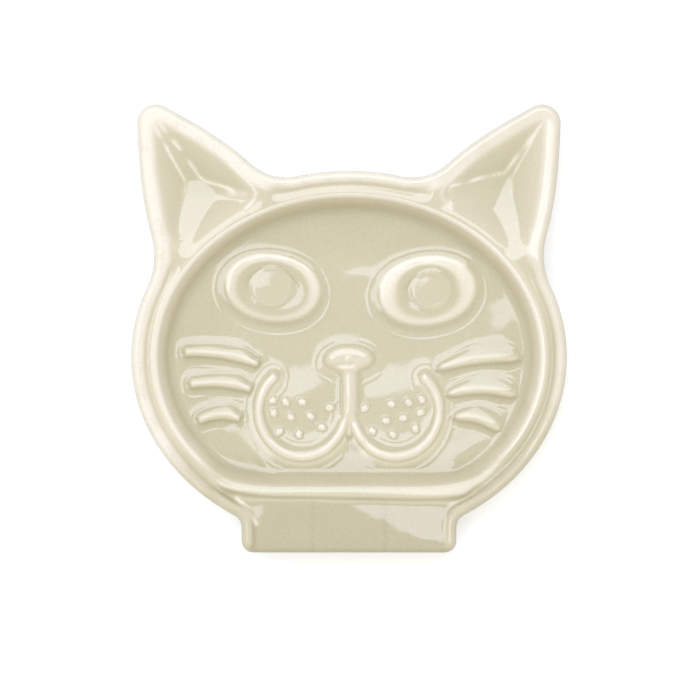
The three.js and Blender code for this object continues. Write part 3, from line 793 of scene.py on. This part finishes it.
def dish_rings():
    """Rings from the middle of the underside over the rim to the floor, with the glaze's thinness."""
    rings = []

    def add(points, heights, thin):
        heights = np.broadcast_to(heights, len(points))
        thin = np.broadcast_to(thin, len(points))
        rings.append(np.column_stack([points, heights, thin]))

    crest_tops, crest_thin = band_top(rim_crest)
    ridge_tops = ridge_top(ridge_crest)
    edge_ring = outline_ring(RIM_EDGE_RADIUS / 2)
    edge_tops = crest_tops - RIM_THICKNESS
    under_ring = well_ring(outer_inset(BAND_THICKNESS))
    under_tops = ridge_tops - BAND_THICKNESS

    for inset, height in (
        (UNDERSIDE_INSET, FOOT_RECESS),
        (FOOT_INSET + FOOT_WIDTH + FOOT_RECESS + 1, FOOT_RECESS),
        (FOOT_INSET + FOOT_WIDTH + FOOT_RECESS * 0.7, FOOT_RECESS * 0.8),
        (FOOT_INSET + FOOT_WIDTH + 0.2, 0.15),
        (FOOT_INSET + FOOT_WIDTH - 0.1, 0),
        (FOOT_INSET + 0.1, 0),
        (FOOT_INSET - 0.2, 0.1),
        (FOOT_INSET - FOOT_EDGE, FOOT_EDGE),
    ):
        add(well_ring(inset), height, UNDERSIDE_THIN)
    turn_ring = well_ring(outer_inset(RIDGE_HEIGHT - WALL_TURN_HEIGHT))
    foot_ring = well_ring(FOOT_INSET - FOOT_EDGE)
    for share in (0.25, 0.5, 0.75, 1):
        level = mix(FOOT_EDGE, WALL_TURN_HEIGHT, share)
        add(mix(foot_ring, turn_ring, share), level, UNDERSIDE_THIN)
    for share in (0.35, 0.7, 1):
        level = mix(WALL_TURN_HEIGHT, under_tops, share)
        add(mix(turn_ring, under_ring, share), level, UNDERSIDE_THIN)
    for share in np.linspace(0, 1, UNDERSIDE_RINGS)[1:-1]:
        points = mix(under_ring, edge_ring, share)
        level = mix(under_tops, edge_tops, share)
        add(points, np.minimum(level, band_top(points)[0] - WALL_THICKNESS), UNDERSIDE_THIN)

    for turn in np.linspace(0, math.pi / 2, 6):
        inset = RIM_EDGE_RADIUS / 2 * (1 - math.sin(turn))
        level = edge_tops + RIM_EDGE_RADIUS * (1 - math.cos(turn))
        add(outline_ring(inset), level, crest_thin * EDGE_THIN)
    for turn in np.linspace(math.pi / 2, 0, 9):
        inset = RIM_CREST_INSET * (1 - math.sin(turn))
        add(outline_ring(inset), crest_tops - RIM_EDGE_RADIUS * (1 - math.cos(turn)), crest_thin)

    shares = (1 - np.cos(np.linspace(0, math.pi, BAND_RINGS))) / 2
    for share in shares[1:]:
        points = mix(rim_crest, ridge_crest, share)
        add(points, *band_top(points))

    for inset, drop in wall_places():
        points = well_ring(inset)
        lift = floor_lift(*points.T) * smooth_step(drop / WELL_DEPTH, 0.5, 1)
        level = mix(ridge_tops, FLOOR_HEIGHT, drop / WELL_DEPTH) + lift
        add(points, level, wall_thin(*points.T, inset, drop))
    floor_edge = well_ring(FLOOR_INSET)
    for share in np.linspace(1, 0, FLOOR_RINGS)[1:-1]:
        points = floor_edge * share
        add(points, FLOOR_HEIGHT + floor_lift(*points.T), floor_thin(*points.T))
    return np.array(rings)


def to_frame(points):
    return (np.asarray(points) + (0, HEAD_MIDDLE, 0)) / METRE


def make_object(name, points, faces, thin, *materials):
    mesh = bpy.data.meshes.new(name)
    mesh.from_pydata(to_frame(points).tolist(), [], faces)
    mesh.attributes.new("thin", "FLOAT", "POINT").data.foreach_set("value", np.float32(thin))
    mesh.shade_smooth()
    for material in materials:
        mesh.materials.append(material)
    made = bpy.data.objects.new(name, mesh)
    bpy.context.scene.collection.objects.link(made)
    return made


def loft_faces(ring_count, count):
    """Quads between rings of equal count, and fans to the two middle points after them."""
    here = np.arange(count)
    after = np.roll(here, -1)
    faces = []
    for r in range(ring_count - 1):
        low, high = r * count, (r + 1) * count
        faces += np.column_stack([low + here, high + here, high + after, low + after]).tolist()
    first, last, top = ring_count * count, ring_count * count + 1, (ring_count - 1) * count
    faces += np.column_stack([np.full(count, first), here, after]).tolist()
    faces += np.column_stack([np.full(count, last), top + after, top + here]).tolist()
    return faces


def make_dish(glaze, bisque):
    rings = dish_rings()
    floor_middle = FLOOR_HEIGHT + floor_lift(np.zeros(1), np.zeros(1))[0]
    middles = [(0, 0, FOOT_RECESS, UNDERSIDE_THIN), (0, 0, floor_middle, FLOOR_THIN)]
    points = np.vstack([rings.reshape(-1, 4), middles])
    faces = loft_faces(*rings.shape[:2])
    dish = make_object("dish", points[:, :3], faces, points[:, 3], glaze, bisque)
    for face in dish.data.polygons:
        if all(points[i, 2] == 0 for i in face.vertices):
            face.material_index = 1
    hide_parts("dish_body")
    return dish


# Clay details


@dataclass
class Coil:
    """A roll of clay along a line, with a half width and a height at each place on it.

    Its gentle side is that many times wider: the inside of a closed roll, the side to the ears of an
    open one. The cream on a closed roll's crest can run further in, partly as painted sheen.
    """

    name: str
    line: np.ndarray
    half_width: np.ndarray
    height: np.ndarray
    cream: float
    closed: bool = False
    gentle: np.ndarray = 1.0
    inner: np.ndarray = 1.0
    skirt: float = SKIRT_REACH
    lip: float = 0.0
    # Painted shade round the foot, most on the chin side; below zero it is painted light.
    foot_pool_and_shade: float = 1.0

    def __post_init__(self):
        for measure in ("half_width", "height", "gentle", "inner"):
            setattr(self, measure, np.broadcast_to(getattr(self, measure), len(self.line)))
        self.low = self.line.min(0) - self.half_width.max()
        self.high = self.line.max(0) + self.half_width.max() * np.array((1, self.gentle.max()))

    def field(self, x, y):
        """Distance outside the roll, its height, and how near its crest is, from 0 to 1."""
        ends = np.roll(self.line, -1, 0)
        count = len(self.line) if self.closed else len(self.line) - 1
        points = np.column_stack([x.ravel(), y.ravel()])
        gap, nearest, share = line_distance(points, self.line[:count], ends[:count])
        after = (nearest + 1) % len(self.line)

        def here(values):
            return mix(values[nearest], values[after], share)

        offset = points - mix(self.line[nearest], self.line[after], share[:, None])
        if self.closed:
            along = self.line[after] - self.line[nearest]
            facing = along[:, 0] * offset[:, 1] > along[:, 1] * offset[:, 0]
        else:
            facing = np.clip(offset[:, 1] / np.maximum(gap, 1e-6), 0, 1)
        height = here(self.height)
        painted = here(self.half_width) * mix(1, here(self.inner), facing)
        crest = 1 - np.minimum(gap / np.maximum(painted, 1e-6), 1) ** 2
        width = here(self.half_width) * mix(1, here(self.gentle), facing)
        out = gap / np.maximum(width, 1e-6)
        uneven = 1 + COIL_RIPPLE * ripples(*points.T, 33, 9)
        lift = height * uneven * (1 - np.minimum(out, 1) ** 2) ** COIL_ROUNDING
        lift -= 2 * height * np.maximum(out - 1, 0)
        if self.closed:
            pool = mix(height, EYE_POOL, np.minimum(out, 1) ** EYE_POOL_EDGE)
            lift = np.where(facing, pool, lift)
        values = (gap - width, lift, crest * height / self.height.max())
        return tuple(value.reshape(x.shape) for value in values)


@dataclass
class Pad:
    """A pressed pad of clay with a rounded edge, over an outline given by a distance from it."""

    name: str
    low: np.ndarray
    high: np.ndarray
    distance: object
    height: float
    cream: float
    edge: float
    skirt: float = SKIRT_REACH
    dome: float = 0.0
    uneven: float = 0.0
    lip: float = 0.0
    # Painted shade round the foot, most on the chin side; below zero it is painted light.
    foot_pool_and_shade: float = PAD_PAINTED_FOOT_LIGHT

    def field(self, x, y):
        """Distance outside the pad, its height, and its height as a share of the whole."""
        outside = self.distance(x, y)
        depth = np.clip(-outside / self.edge, 0, 1)
        if self.uneven:
            depth = np.clip(depth * (1 + self.uneven * ripples(x, y, 31, 1.0)), 0, 1.2)
        lift = self.height * (1 - (1 - depth) ** 2)
        if self.dome:
            lift += self.dome * np.maximum(-outside, 0) + IRIS_RIPPLE * ripples(x, y, 14, 6)
        lift -= 2 * self.height / self.edge * np.maximum(outside, 0)
        return outside, lift, lift / self.height


def head_box(name):
    low, high = node_box(name)
    return low[:2] - (0, HEAD_MIDDLE), high[:2] - (0, HEAD_MIDDLE)


def iris_pad(side):
    name = f"{side}_iris"
    low, high = head_box(name)
    middle, radius = (low + high) / 2, (high - low).max() / 2

    def distance(x, y):
        return np.hypot(x - middle[0], y - middle[1]) - radius

    size = (IRIS_HEIGHT, IRIS_CREAM, IRIS_EDGE, SMALL_SKIRT)
    return Pad(name, low, high, distance, *size, dome=IRIS_DOMES[side])


def freckle_pad(name):
    """A small pellet with an uneven outline, a little wider than the clay below the glaze."""
    low, high = head_box(name)
    middle, radius = (low + high) / 2, (high - low).max() / 2 + FRECKLE_SPREAD
    phases = np.random.default_rng(sum(name.encode())).uniform(0, 2 * math.pi, 2)

    def distance(x, y):
        angle = np.arctan2(y - middle[1], x - middle[0])
        lobes = 1 + FRECKLE_LOBES[0] * np.sin(2 * angle + phases[0])
        lobes += FRECKLE_LOBES[1] * np.sin(5 * angle + phases[1])
        return np.hypot(x - middle[0], y - middle[1]) - radius * lobes

    spread = radius * 0.25 + FRECKLE_SPREAD
    size = (FRECKLE_HEIGHT, FRECKLE_CREAM, FRECKLE_EDGE, SMALL_SKIRT)
    return Pad(name, low - spread, high + spread, distance, *size, uneven=FRECKLE_UNEVEN)


def eye_ring(side, hand):
    name = f"{side}_eye_ring"
    low, high = head_box(name)
    middle = (low + high) / 2 - (0, EYE_COIL_SHIFT)
    long, short = (EYE_LENGTH - EYE_COIL_WIDTH) / 2, (EYE_HEIGHT - EYE_COIL_WIDTH) / 2
    turn = hand * math.radians(EYE_TILT)
    angles = np.linspace(0, 2 * math.pi, round(2 * math.pi * long / COIL_STEP), endpoint=False)
    across = (long - EYE_CORNER_INSET * np.cos(angles) ** 2) * np.cos(angles)
    up = short * np.sin(angles)
    line = np.column_stack(
        [
            middle[0] + across * math.cos(turn) - up * math.sin(turn),
            middle[1] + across * math.sin(turn) + up * math.cos(turn),
        ]
    )
    height = EYE_COIL_HEIGHT - EYE_COIL_DROP * (1 - np.sin(angles)) / 2
    width = EYE_COIL_SPREAD[side] * (1 + EYE_CORNER_SPREAD * np.cos(angles) ** 2)
    # Painted sheen on the inner sides of the ring's corners.
    inner = 1 + EYE_CORNER_CREAM_AND_SHEEN[side] * np.cos(angles) ** 2
    shape = {"closed": True, "gentle": EYE_COIL_GENTLE, "inner": inner, "lip": EYE_COIL_LIP}
    return Coil(name, line, width, height, EYE_COIL_CREAM_AND_SHEEN[side], **shape)


def nose_outline():
    low, high = head_box("nose")
    half, top, bottom = (high[0] - low[0]) / 2, high[1], low[1]
    side, neck = mix(bottom, top, 0.48), MOUTH_COIL_WIDTH / 2
    waist, shoulder = mix(side, bottom, 0.55), mix(neck, half, 0.5)
    curves = (
        ((0, top), (half * 0.62, top), (half, mix(side, top, 0.55)), (half, side)),
        ((half, side), (half, waist), (shoulder, waist), (neck, bottom)),
    )
    shares = np.linspace(0, 1, NOSE_STEPS, endpoint=False)[:, None]
    right = []
    for curve in curves:
        a, b, c, d = np.array(curve)
        p, q, r = mix(a, b, shares), mix(b, c, shares), mix(c, d, shares)
        right.append(mix(mix(p, q, shares), mix(q, r, shares), shares))
    right = np.vstack([*right, [(neck, bottom)]])
    return np.vstack([right, right[:0:-1] * (-1, 1)])


def polygon_distance(polygon):
    """Distance from a polygon's edge, less than nothing inside it."""
    ends = np.roll(polygon, -1, 0)

    def distance(x, y):
        points = np.column_stack([x.ravel(), y.ravel()])
        gap = line_distance(points, polygon, ends)[0]
        inside = np.zeros(len(points), bool)
        for start, end in zip(polygon, ends):
            spans = (start[1] > points[:, 1]) != (end[1] > points[:, 1])
            slope = (end[0] - start[0]) / (end[1] - start[1] + 1e-12)
            inside ^= spans & (points[:, 0] < start[0] + (points[:, 1] - start[1]) * slope)
        return np.where(inside, -gap, gap).reshape(x.shape)

    return distance


def nose_pad():
    distance = polygon_distance(nose_outline())
    return Pad("nose", *head_box("nose"), distance, NOSE_HEIGHT, NOSE_CREAM, NOSE_EDGE)


def philtrum_coil():
    top = head_box("nose")[0][1] + MOUTH_COIL_WIDTH
    bottom = head_box("philtrum")[0][1] - PHILTRUM_TAIL
    share = np.linspace(0, 1, PHILTRUM_STEPS)
    line = np.column_stack([np.full(PHILTRUM_STEPS, PHILTRUM_SIDE), mix(top, bottom, share)])
    width = PHILTRUM_WIDTH / 2 * fade(1, share, *PHILTRUM_END_WIDTH)
    height = fade(PHILTRUM_HEIGHT, share, *PHILTRUM_END_HEIGHT)
    return Coil("philtrum", line, width, height, PHILTRUM_CREAM, skirt=PHILTRUM_SKIRT)


def mouth_curl(name, hand):
    low, high = head_box(name)
    outer = CURL_RADIUS + MOUTH_COIL_WIDTH / 2
    middle = ((high[0] - outer) if hand > 0 else (low[0] + outer), low[1] + outer)
    ends = np.radians((CURL_OUTER_ANGLE, CURL_INNER_ANGLE))
    angles = np.linspace(*ends, round(abs(ends[1] - ends[0]) * CURL_RADIUS / COIL_STEP))
    shift = MOUTH_COIL_SHIFT * np.minimum(np.sin(angles), 0) ** 2
    across = middle[0] + hand * CURL_RADIUS * np.cos(angles)
    line = np.column_stack([across, middle[1] + CURL_RADIUS * np.sin(angles) - shift])
    height = fade(MOUTH_COIL_HEIGHT, np.linspace(0, 1, len(line)), *CURL_END_HEIGHT)
    size = (MOUTH_COIL_SPREAD, height, MOUTH_COIL_CREAM)
    return Coil(name, line, *size, gentle=MOUTH_COIL_GENTLE, foot_pool_and_shade=MOUTH_COIL_PAINTED_FOOT_SHEEN)


def whisker_coil(name, hand, shift):
    """A bowed roll along the CAD whisker's own line, which a parabola follows."""
    points = np.array([v.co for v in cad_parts[name].data.vertices]) * METRE
    across, up = points[:, 0], points[:, 1] - HEAD_MIDDLE
    bow = np.polyfit(across, up, 2)
    start, end = across.min(), across.max()
    if hand < 0:
        start, end = start + LEFT_WHISKER_START * LEFT_WHISKER_WIDTH, end - LEFT_WHISKER_WIDTH / 2
    else:
        end += RIGHT_WHISKER_END
    x = np.linspace(start, end, round((end - start) / COIL_STEP))
    line = np.column_stack([x, np.polyval(bow, x) - shift])
    share = np.linspace(-1, 1, len(x))
    if hand < 0:
        line[:, 1] -= fade(0, share, *LEFT_WHISKER_END_DROP)
        taper = (1 + LEFT_WHISKER_TAPER * share) * fade(1, share, *LEFT_WHISKER_END_WIDTH)
        width, height, gentle = LEFT_WHISKER_WIDTH / 2 * taper, WHISKER_HEIGHT, LEFT_WHISKER_GENTLE
    else:
        leaf = np.sqrt(1.05 - np.abs(share) ** 5)
        width, height = RIGHT_WHISKER_WIDTH / 2 * leaf, WHISKER_HEIGHT * leaf
        gentle = fade(RIGHT_WHISKER_START_GENTLE, share, *RIGHT_WHISKER_GENTLE)
    return Coil(name, line, width, height, WHISKER_CREAM, gentle=gentle, skirt=WHISKER_SKIRT)


def all_details():
    details = [nose_pad(), philtrum_coil()]
    for side, hand in (("left", -1), ("right", 1)):
        details += [eye_ring(side, hand), iris_pad(side), mouth_curl(f"{side}_mouth_curl", hand)]
        shifts = enumerate(WHISKER_SHIFTS[side], 1)
        details += [whisker_coil(f"{side}_whisker_{i}", hand, shift) for i, shift in shifts]
        details += [freckle_pad(f"{side}_freckle_{i}") for i in range(1, FRECKLE_COUNT + 1)]
    return details


def pressed_in(x, y):
    """Depth of the groove down the philtrum's left side and of the dimple in the nose."""
    below, above = PHILTRUM_GROOVE_FADES
    groove = fold(x, *PHILTRUM_GROOVE) * smooth_step(-y, *below) * smooth_step(y, *above)
    return groove + swelling(x, y, *NOSE_DIMPLE) * (1 - fold(x, *NOSE_BRIDGE))


def relief(x, y, details):
    """Height of the details over the floor, run together as the glaze joins them, and their cream."""
    top = np.full(x.shape, -9.0)
    skirt = np.zeros(x.shape)
    cream = np.zeros(x.shape)
    uneven = LIP_SHARE + LIP_RIPPLE * ripples(x, y, 12, 10)
    for detail in details:
        outside, lift, crest = detail.field(x, y)
        top = smooth_max(top, lift, JOIN_BLEND)
        cream = np.maximum(cream, detail.cream * smooth_step(crest, *CREAM_FADE))
        slope = SKIRT_HEIGHT * np.clip(1 - outside / detail.skirt, 0, 1) ** 2
        if detail.skirt > LIP_SHIFT + LIP_WIDTH:
            past = detail.field(x, y + LIP_SHIFT)[0] - detail.skirt * LIP_PLACE / SKIRT_REACH
            broken = np.clip(uneven, detail.lip, 1)
            slope += LIP_HEIGHT * broken * bell(past, LIP_WIDTH)
        skirt = np.maximum(skirt, slope)
    return smooth_max(top, skirt, FOOT_BLEND) - pressed_in(x, y), cream


def near_details(detail, details):
    margin = 2 * SKIRT_REACH
    return [
        other
        for other in details
        if (other.low - margin < detail.high).all() and (other.high + margin > detail.low).all()
    ]


def drawn_to_edge(detail, x, y, outside):
    """Move the grid points that lie past the edge of a detail's skirt onto it."""
    past = outside > detail.skirt
    px, py, gap = x[past], y[past], outside[past] - detail.skirt
    step = 0.01
    slope_x = (detail.field(px + step, py)[0] - detail.field(px - step, py)[0]) / (2 * step)
    slope_y = (detail.field(px, py + step)[0] - detail.field(px, py - step)[0]) / (2 * step)
    steep = np.maximum(slope_x**2 + slope_y**2, 0.5)
    x[past] -= gap * slope_x / steep
    y[past] -= gap * slope_y / steep


def patch_faces(cells, index, count):
    """Faces of a closed patch: its top, its underside and the wall round it."""
    a, b = index[:-1, :-1], index[:-1, 1:]
    c, d = index[1:, 1:], index[1:, :-1]
    quads = np.column_stack([corner[cells] for corner in (a, b, c, d)])
    faces = quads.tolist() + (quads[:, ::-1] + count).tolist()
    padded = np.pad(cells, 1)
    for start, end, clear in (
        (a, b, ~padded[:-2, 1:-1]),
        (b, c, ~padded[1:-1, 2:]),
        (c, d, ~padded[2:, 1:-1]),
        (d, a, ~padded[1:-1, :-2]),
    ):
        rim = cells & clear
        s, e = start[rim], end[rim]
        faces += np.column_stack([e, s, s + count, e + count]).tolist()
    return faces


def detail_thin(detail, x, y, outside, height, cream):
    """How thin the glaze lies on a detail: thin on its bulges and its crest, thick round its foot, where
    painted shade falls on the chin side (painted light where the detail's value is below zero).
    """
    bend_up = np.gradient(np.gradient(height, DETAIL_STEP, axis=0), DETAIL_STEP, axis=0)
    bend_across = np.gradient(np.gradient(height, DETAIL_STEP, axis=1), DETAIL_STEP, axis=1)
    bulge = np.tanh(-(bend_up + bend_across))
    to_chin = np.clip(-np.gradient(outside, DETAIL_STEP, axis=0), 0, 1)
    # Painted shade round the foot, full on the chin side; painted light where the value is below zero.
    foot_pool_and_shade = detail.foot_pool_and_shade * fold(outside, *FOOT_POOL_AND_SHADE_THIN) * mix(FOOT_SHADE_EAR_SIDE_SHARE, 1, to_chin)
    return floor_thin(x, y) + BULGE_THIN * bulge + cream + foot_pool_and_shade


def make_detail(detail, details, glaze):
    """A detail with its skirt of glaze, as a closed patch on the floor.

    Where the skirts of two details meet, the patch of the further one lies just below the other.
    """
    margin = detail.skirt + DETAIL_STEP
    low, high = detail.low - margin, detail.high + margin
    xs = np.arange(low[0], high[0] + DETAIL_STEP, DETAIL_STEP)
    ys = np.arange(low[1], high[1] + DETAIL_STEP, DETAIL_STEP)
    x, y = np.meshgrid(xs, ys)
    outside = detail.field(x, y)[0]
    within = outside < detail.skirt
    cells = within[:-1, :-1] | within[1:, :-1] | within[:-1, 1:] | within[1:, 1:]
    used = np.zeros(x.shape, bool)
    for rows, columns in ((0, 0), (1, 0), (0, 1), (1, 1)):
        used[rows : rows + cells.shape[0], columns : columns + cells.shape[1]] |= cells
    drawn_to_edge(detail, x, y, np.where(used, outside, -1.0))

    near = near_details(detail, details)
    height, cream = relief(x, y, near)
    hidden = np.zeros(x.shape, bool)
    for other in near:
        if other is not detail:
            hidden |= other.field(x, y)[0] < np.minimum(outside - 0.01, other.skirt)
    below, above = np.maximum(height - PROUD / 2, PROUD / 4), np.maximum(height + PROUD, PROUD)
    base = FLOOR_HEIGHT + floor_lift(x, y)
    top = base + np.where(hidden, below, above)
    thin = detail_thin(detail, x, y, outside, height, cream)

    count = int(used.sum())
    index = np.full(x.shape, -1)
    index[used] = np.arange(count)
    points = np.vstack([np.column_stack([x[used], y[used], z[used]]) for z in (top, base)])
    faces = patch_faces(cells, index, count)
    made = make_object(detail.name + "_clay", points, faces, np.tile(thin[used], 2), glaze)
    made.data.set_sharp_from_angle(angle=SHARP_EDGE)
    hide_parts(detail.name)
    return made


# Materials


def srgb(red, green, blue):
    values = np.array((red, green, blue)) / 255
    linear = np.where(values <= 0.04045, values / 12.92, ((values + 0.055) / 1.055) ** 2.4)
    return (*linear.tolist(), 1.0)


class Surface:
    """A node material with a Principled shader."""

    def __init__(self, name):
        self.material = bpy.data.materials.new(name)
        self.material.use_nodes = True
        self.nodes = self.material.node_tree.nodes
        self.shader = self.nodes["Principled BSDF"]

    def feed(self, node, inputs):
        """Set inputs of a node, each to a plain value or from another node's output."""
        for key, value in inputs.items():
            if isinstance(value, bpy.types.NodeSocket):
                self.material.node_tree.links.new(value, node.inputs[key])
            else:
                node.inputs[key].default_value = value

    def add(self, kind, inputs, output):
        node = self.nodes.new("ShaderNode" + kind)
        self.feed(node, inputs)
        return node.outputs[output]

    def noise(self, scale, detail):
        place = self.add("TexCoord", {}, "Object")
        return self.add("TexNoise", {"Vector": place, "Scale": scale, "Detail": detail}, "Fac")

    def sum(self, operation, *values):
        node = self.nodes.new("ShaderNodeMath")
        node.operation = operation
        self.feed(node, dict(enumerate(values)))
        return node.outputs["Value"]

    def ramp(self, share, stops):
        node = self.nodes.new("ShaderNodeValToRGB")
        elements = node.color_ramp.elements
        for element, (position, colour) in zip(elements, (stops[0], stops[-1])):
            element.position, element.color = position, srgb(*colour)
        for position, colour in stops[1:-1]:
            elements.new(position).color = srgb(*colour)
        self.feed(node, {"Fac": share})
        return node.outputs["Color"]

    def bump(self, height, strength, distance):
        inputs = {"Height": height, "Strength": strength, "Distance": distance}
        return self.add("Bump", inputs, "Normal")


GLAZE_COLOURS = (
    (0.0, (195, 186, 154)),
    (0.35, (217, 211, 182)),
    (0.55, (230, 222, 195)),
    (0.8, (246, 239, 220)),
    (1.0, (255, 249, 233)),
)
CLAY_COLOURS = ((0.3, (206, 190, 165)), (0.7, (232, 220, 200)))
CLOUD_SHARE = 0.1
SPECKLE_SHARE = 0.24
GLAZE_IOR = 1.65


def glaze_material():
    """Olive where the glaze gathers and cream where it is thin, glossy, and worn on the crests."""
    surface = Surface("celadon_glaze")
    thin = surface.nodes.new("ShaderNodeAttribute")
    thin.attribute_name = "thin"
    speckled = surface.sum("MULTIPLY_ADD", surface.noise(1500, 2), SPECKLE_SHARE, thin.outputs["Fac"])
    centred = surface.sum("SUBTRACT", speckled, (CLOUD_SHARE + SPECKLE_SHARE) / 2)
    clouded = surface.sum("MULTIPLY_ADD", surface.noise(90, 3), CLOUD_SHARE, centred)
    gloss = {"Value": clouded, "From Min": 0.82, "From Max": 1.0, "To Min": 0.07, "To Max": 0.38}
    inputs = {
        "Base Color": surface.ramp(clouded, GLAZE_COLOURS),
        "Roughness": surface.add("MapRange", gloss, "Result"),
        "Normal": surface.bump(surface.noise(700, 2), 0.25, 0.00003),
        "IOR": GLAZE_IOR,
    }
    surface.feed(surface.shader, inputs)
    return surface.material


def bisque_material():
    """Bare, gritty clay on the foot ring."""
    surface = Surface("bare_clay")
    grain = surface.noise(1100, 4)
    inputs = {
        "Base Color": surface.ramp(grain, CLAY_COLOURS),
        "Roughness": surface.add("MapRange", {"Value": grain, "To Min": 0.75, "To Max": 0.95}, "Result"),
        "Normal": surface.bump(grain, 0.6, 0.0001),
    }
    surface.feed(surface.shader, inputs)
    return surface.material


TABLE_COLOUR = (0.83, 0.85, 0.88, 1)
TABLE_GLOW = 0.45
TABLE_HALF = 3.0


def floor_material():
    """A plain pale surface, lifted to white for the camera alone, with the shadow kept."""
    surface = Surface("white_table")
    to_camera = surface.add("LightPath", {}, "Is Camera Ray")
    inputs = {
        "Base Color": TABLE_COLOUR,
        "Roughness": 1.0,
        "Specular IOR Level": 0.0,
        "Emission Color": (1, 1, 1, 1),
        "Emission Strength": surface.sum("MULTIPLY", to_camera, TABLE_GLOW),
    }
    surface.feed(surface.shader, inputs)
    return surface.material


# Stage


def make_floor():
    mesh = bpy.data.meshes.new("table")
    corners = [(x * TABLE_HALF, y * TABLE_HALF, 0) for x, y in ((-1, -1), (1, -1), (1, 1), (-1, 1))]
    mesh.from_pydata(corners, [], [(0, 1, 2, 3)])
    mesh.materials.append(floor_material())
    table = bpy.data.objects.new("table", mesh)
    bpy.context.scene.collection.objects.link(table)


# Lamps over the table, in metres: the near edge of each is this far from straight over the object.
# The softbox stands towards the left ear and is mirrored in the glaze. The window stands at the chin.
LAMP_HEIGHT = 3.0
SOFTBOX_SIZE = (3.0, 2.9)
SOFTBOX_EDGE = 0.12
SOFTBOX_ASIDE = 0.55
SOFTBOX_TURN = math.radians(40)
SOFTBOX_BRIGHTNESS = 3.1
SOFTBOX_COLOUR = (0.75, 0.8, 1.0)
WINDOW_SIZE = (3.0, 1.5)
WINDOW_EDGE = 0.6
WINDOW_BRIGHTNESS = 2.0
WINDOW_COLOUR = (1.0, 1.0, 1.0)
FILL_BRIGHTNESS = 0.42
FILL_COLOUR = (1.0, 0.93, 0.73, 1.0)


def add_lamp(name, size, brightness, colour, place, turn=0.0):
    light = bpy.data.lights.new(name, "AREA")
    light.shape = "RECTANGLE"
    light.size, light.size_y = size
    light.color = colour
    light.energy = brightness * math.pi * size[0] * size[1]
    lamp = bpy.data.objects.new(name, light)
    lamp.location = (*place, LAMP_HEIGHT)
    lamp.rotation_euler = (0, 0, turn)
    lamp.visible_camera = False
    bpy.context.scene.collection.objects.link(lamp)
    return lamp


def make_lights():
    world = bpy.data.worlds.new("studio")
    world.use_nodes = True
    bpy.context.scene.world = world
    background = world.node_tree.nodes["Background"]
    background.inputs["Color"].default_value = FILL_COLOUR
    background.inputs["Strength"].default_value = FILL_BRIGHTNESS
    out = SOFTBOX_EDGE + SOFTBOX_SIZE[1] / 2
    across, up = math.cos(SOFTBOX_TURN), math.sin(SOFTBOX_TURN)
    place = (SOFTBOX_ASIDE * across - out * up, SOFTBOX_ASIDE * up + out * across)
    add_lamp("softbox", SOFTBOX_SIZE, SOFTBOX_BRIGHTNESS, SOFTBOX_COLOUR, place, SOFTBOX_TURN)
    place = (0, -WINDOW_EDGE - WINDOW_SIZE[1] / 2)
    window = add_lamp("window", WINDOW_SIZE, WINDOW_BRIGHTNESS, WINDOW_COLOUR, place)
    window.visible_glossy = False


# Photograph: its pixels across, the head's middle and width in it, and the size of a pixel at the rim
PHOTO_SIDE = 700
PHOTO_HEAD = (349, 357)
PHOTO_HEAD_WIDTH = 436
PHOTO_PIXEL = HEAD_WIDTH / PHOTO_HEAD_WIDTH
CAMERA_DISTANCE = 4000.0
CAMERA_CLIP_END = 10.0


def make_camera():
    data = bpy.data.cameras.new("camera")
    camera = bpy.data.objects.new("camera", data)
    bpy.context.scene.collection.objects.link(camera)
    across = (PHOTO_SIDE / 2 - PHOTO_HEAD[0]) * PHOTO_PIXEL
    up = (PHOTO_HEAD[1] - PHOTO_SIDE / 2) * PHOTO_PIXEL
    camera.location = to_frame((across, up, RIM_HEIGHT + CAMERA_DISTANCE))
    data.lens = data.sensor_width * CAMERA_DISTANCE / (PHOTO_SIDE * PHOTO_PIXEL)
    data.clip_end = CAMERA_CLIP_END
    bpy.context.scene.camera = camera


glaze = glaze_material()
pieces = [make_dish(glaze, bisque_material())]
details = all_details()
pieces += [make_detail(detail, details, glaze) for detail in details]
for piece in pieces:
    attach(piece, "root")

make_floor()
make_lights()
make_camera()
bpy.context.scene.view_settings.view_transform = "Standard"
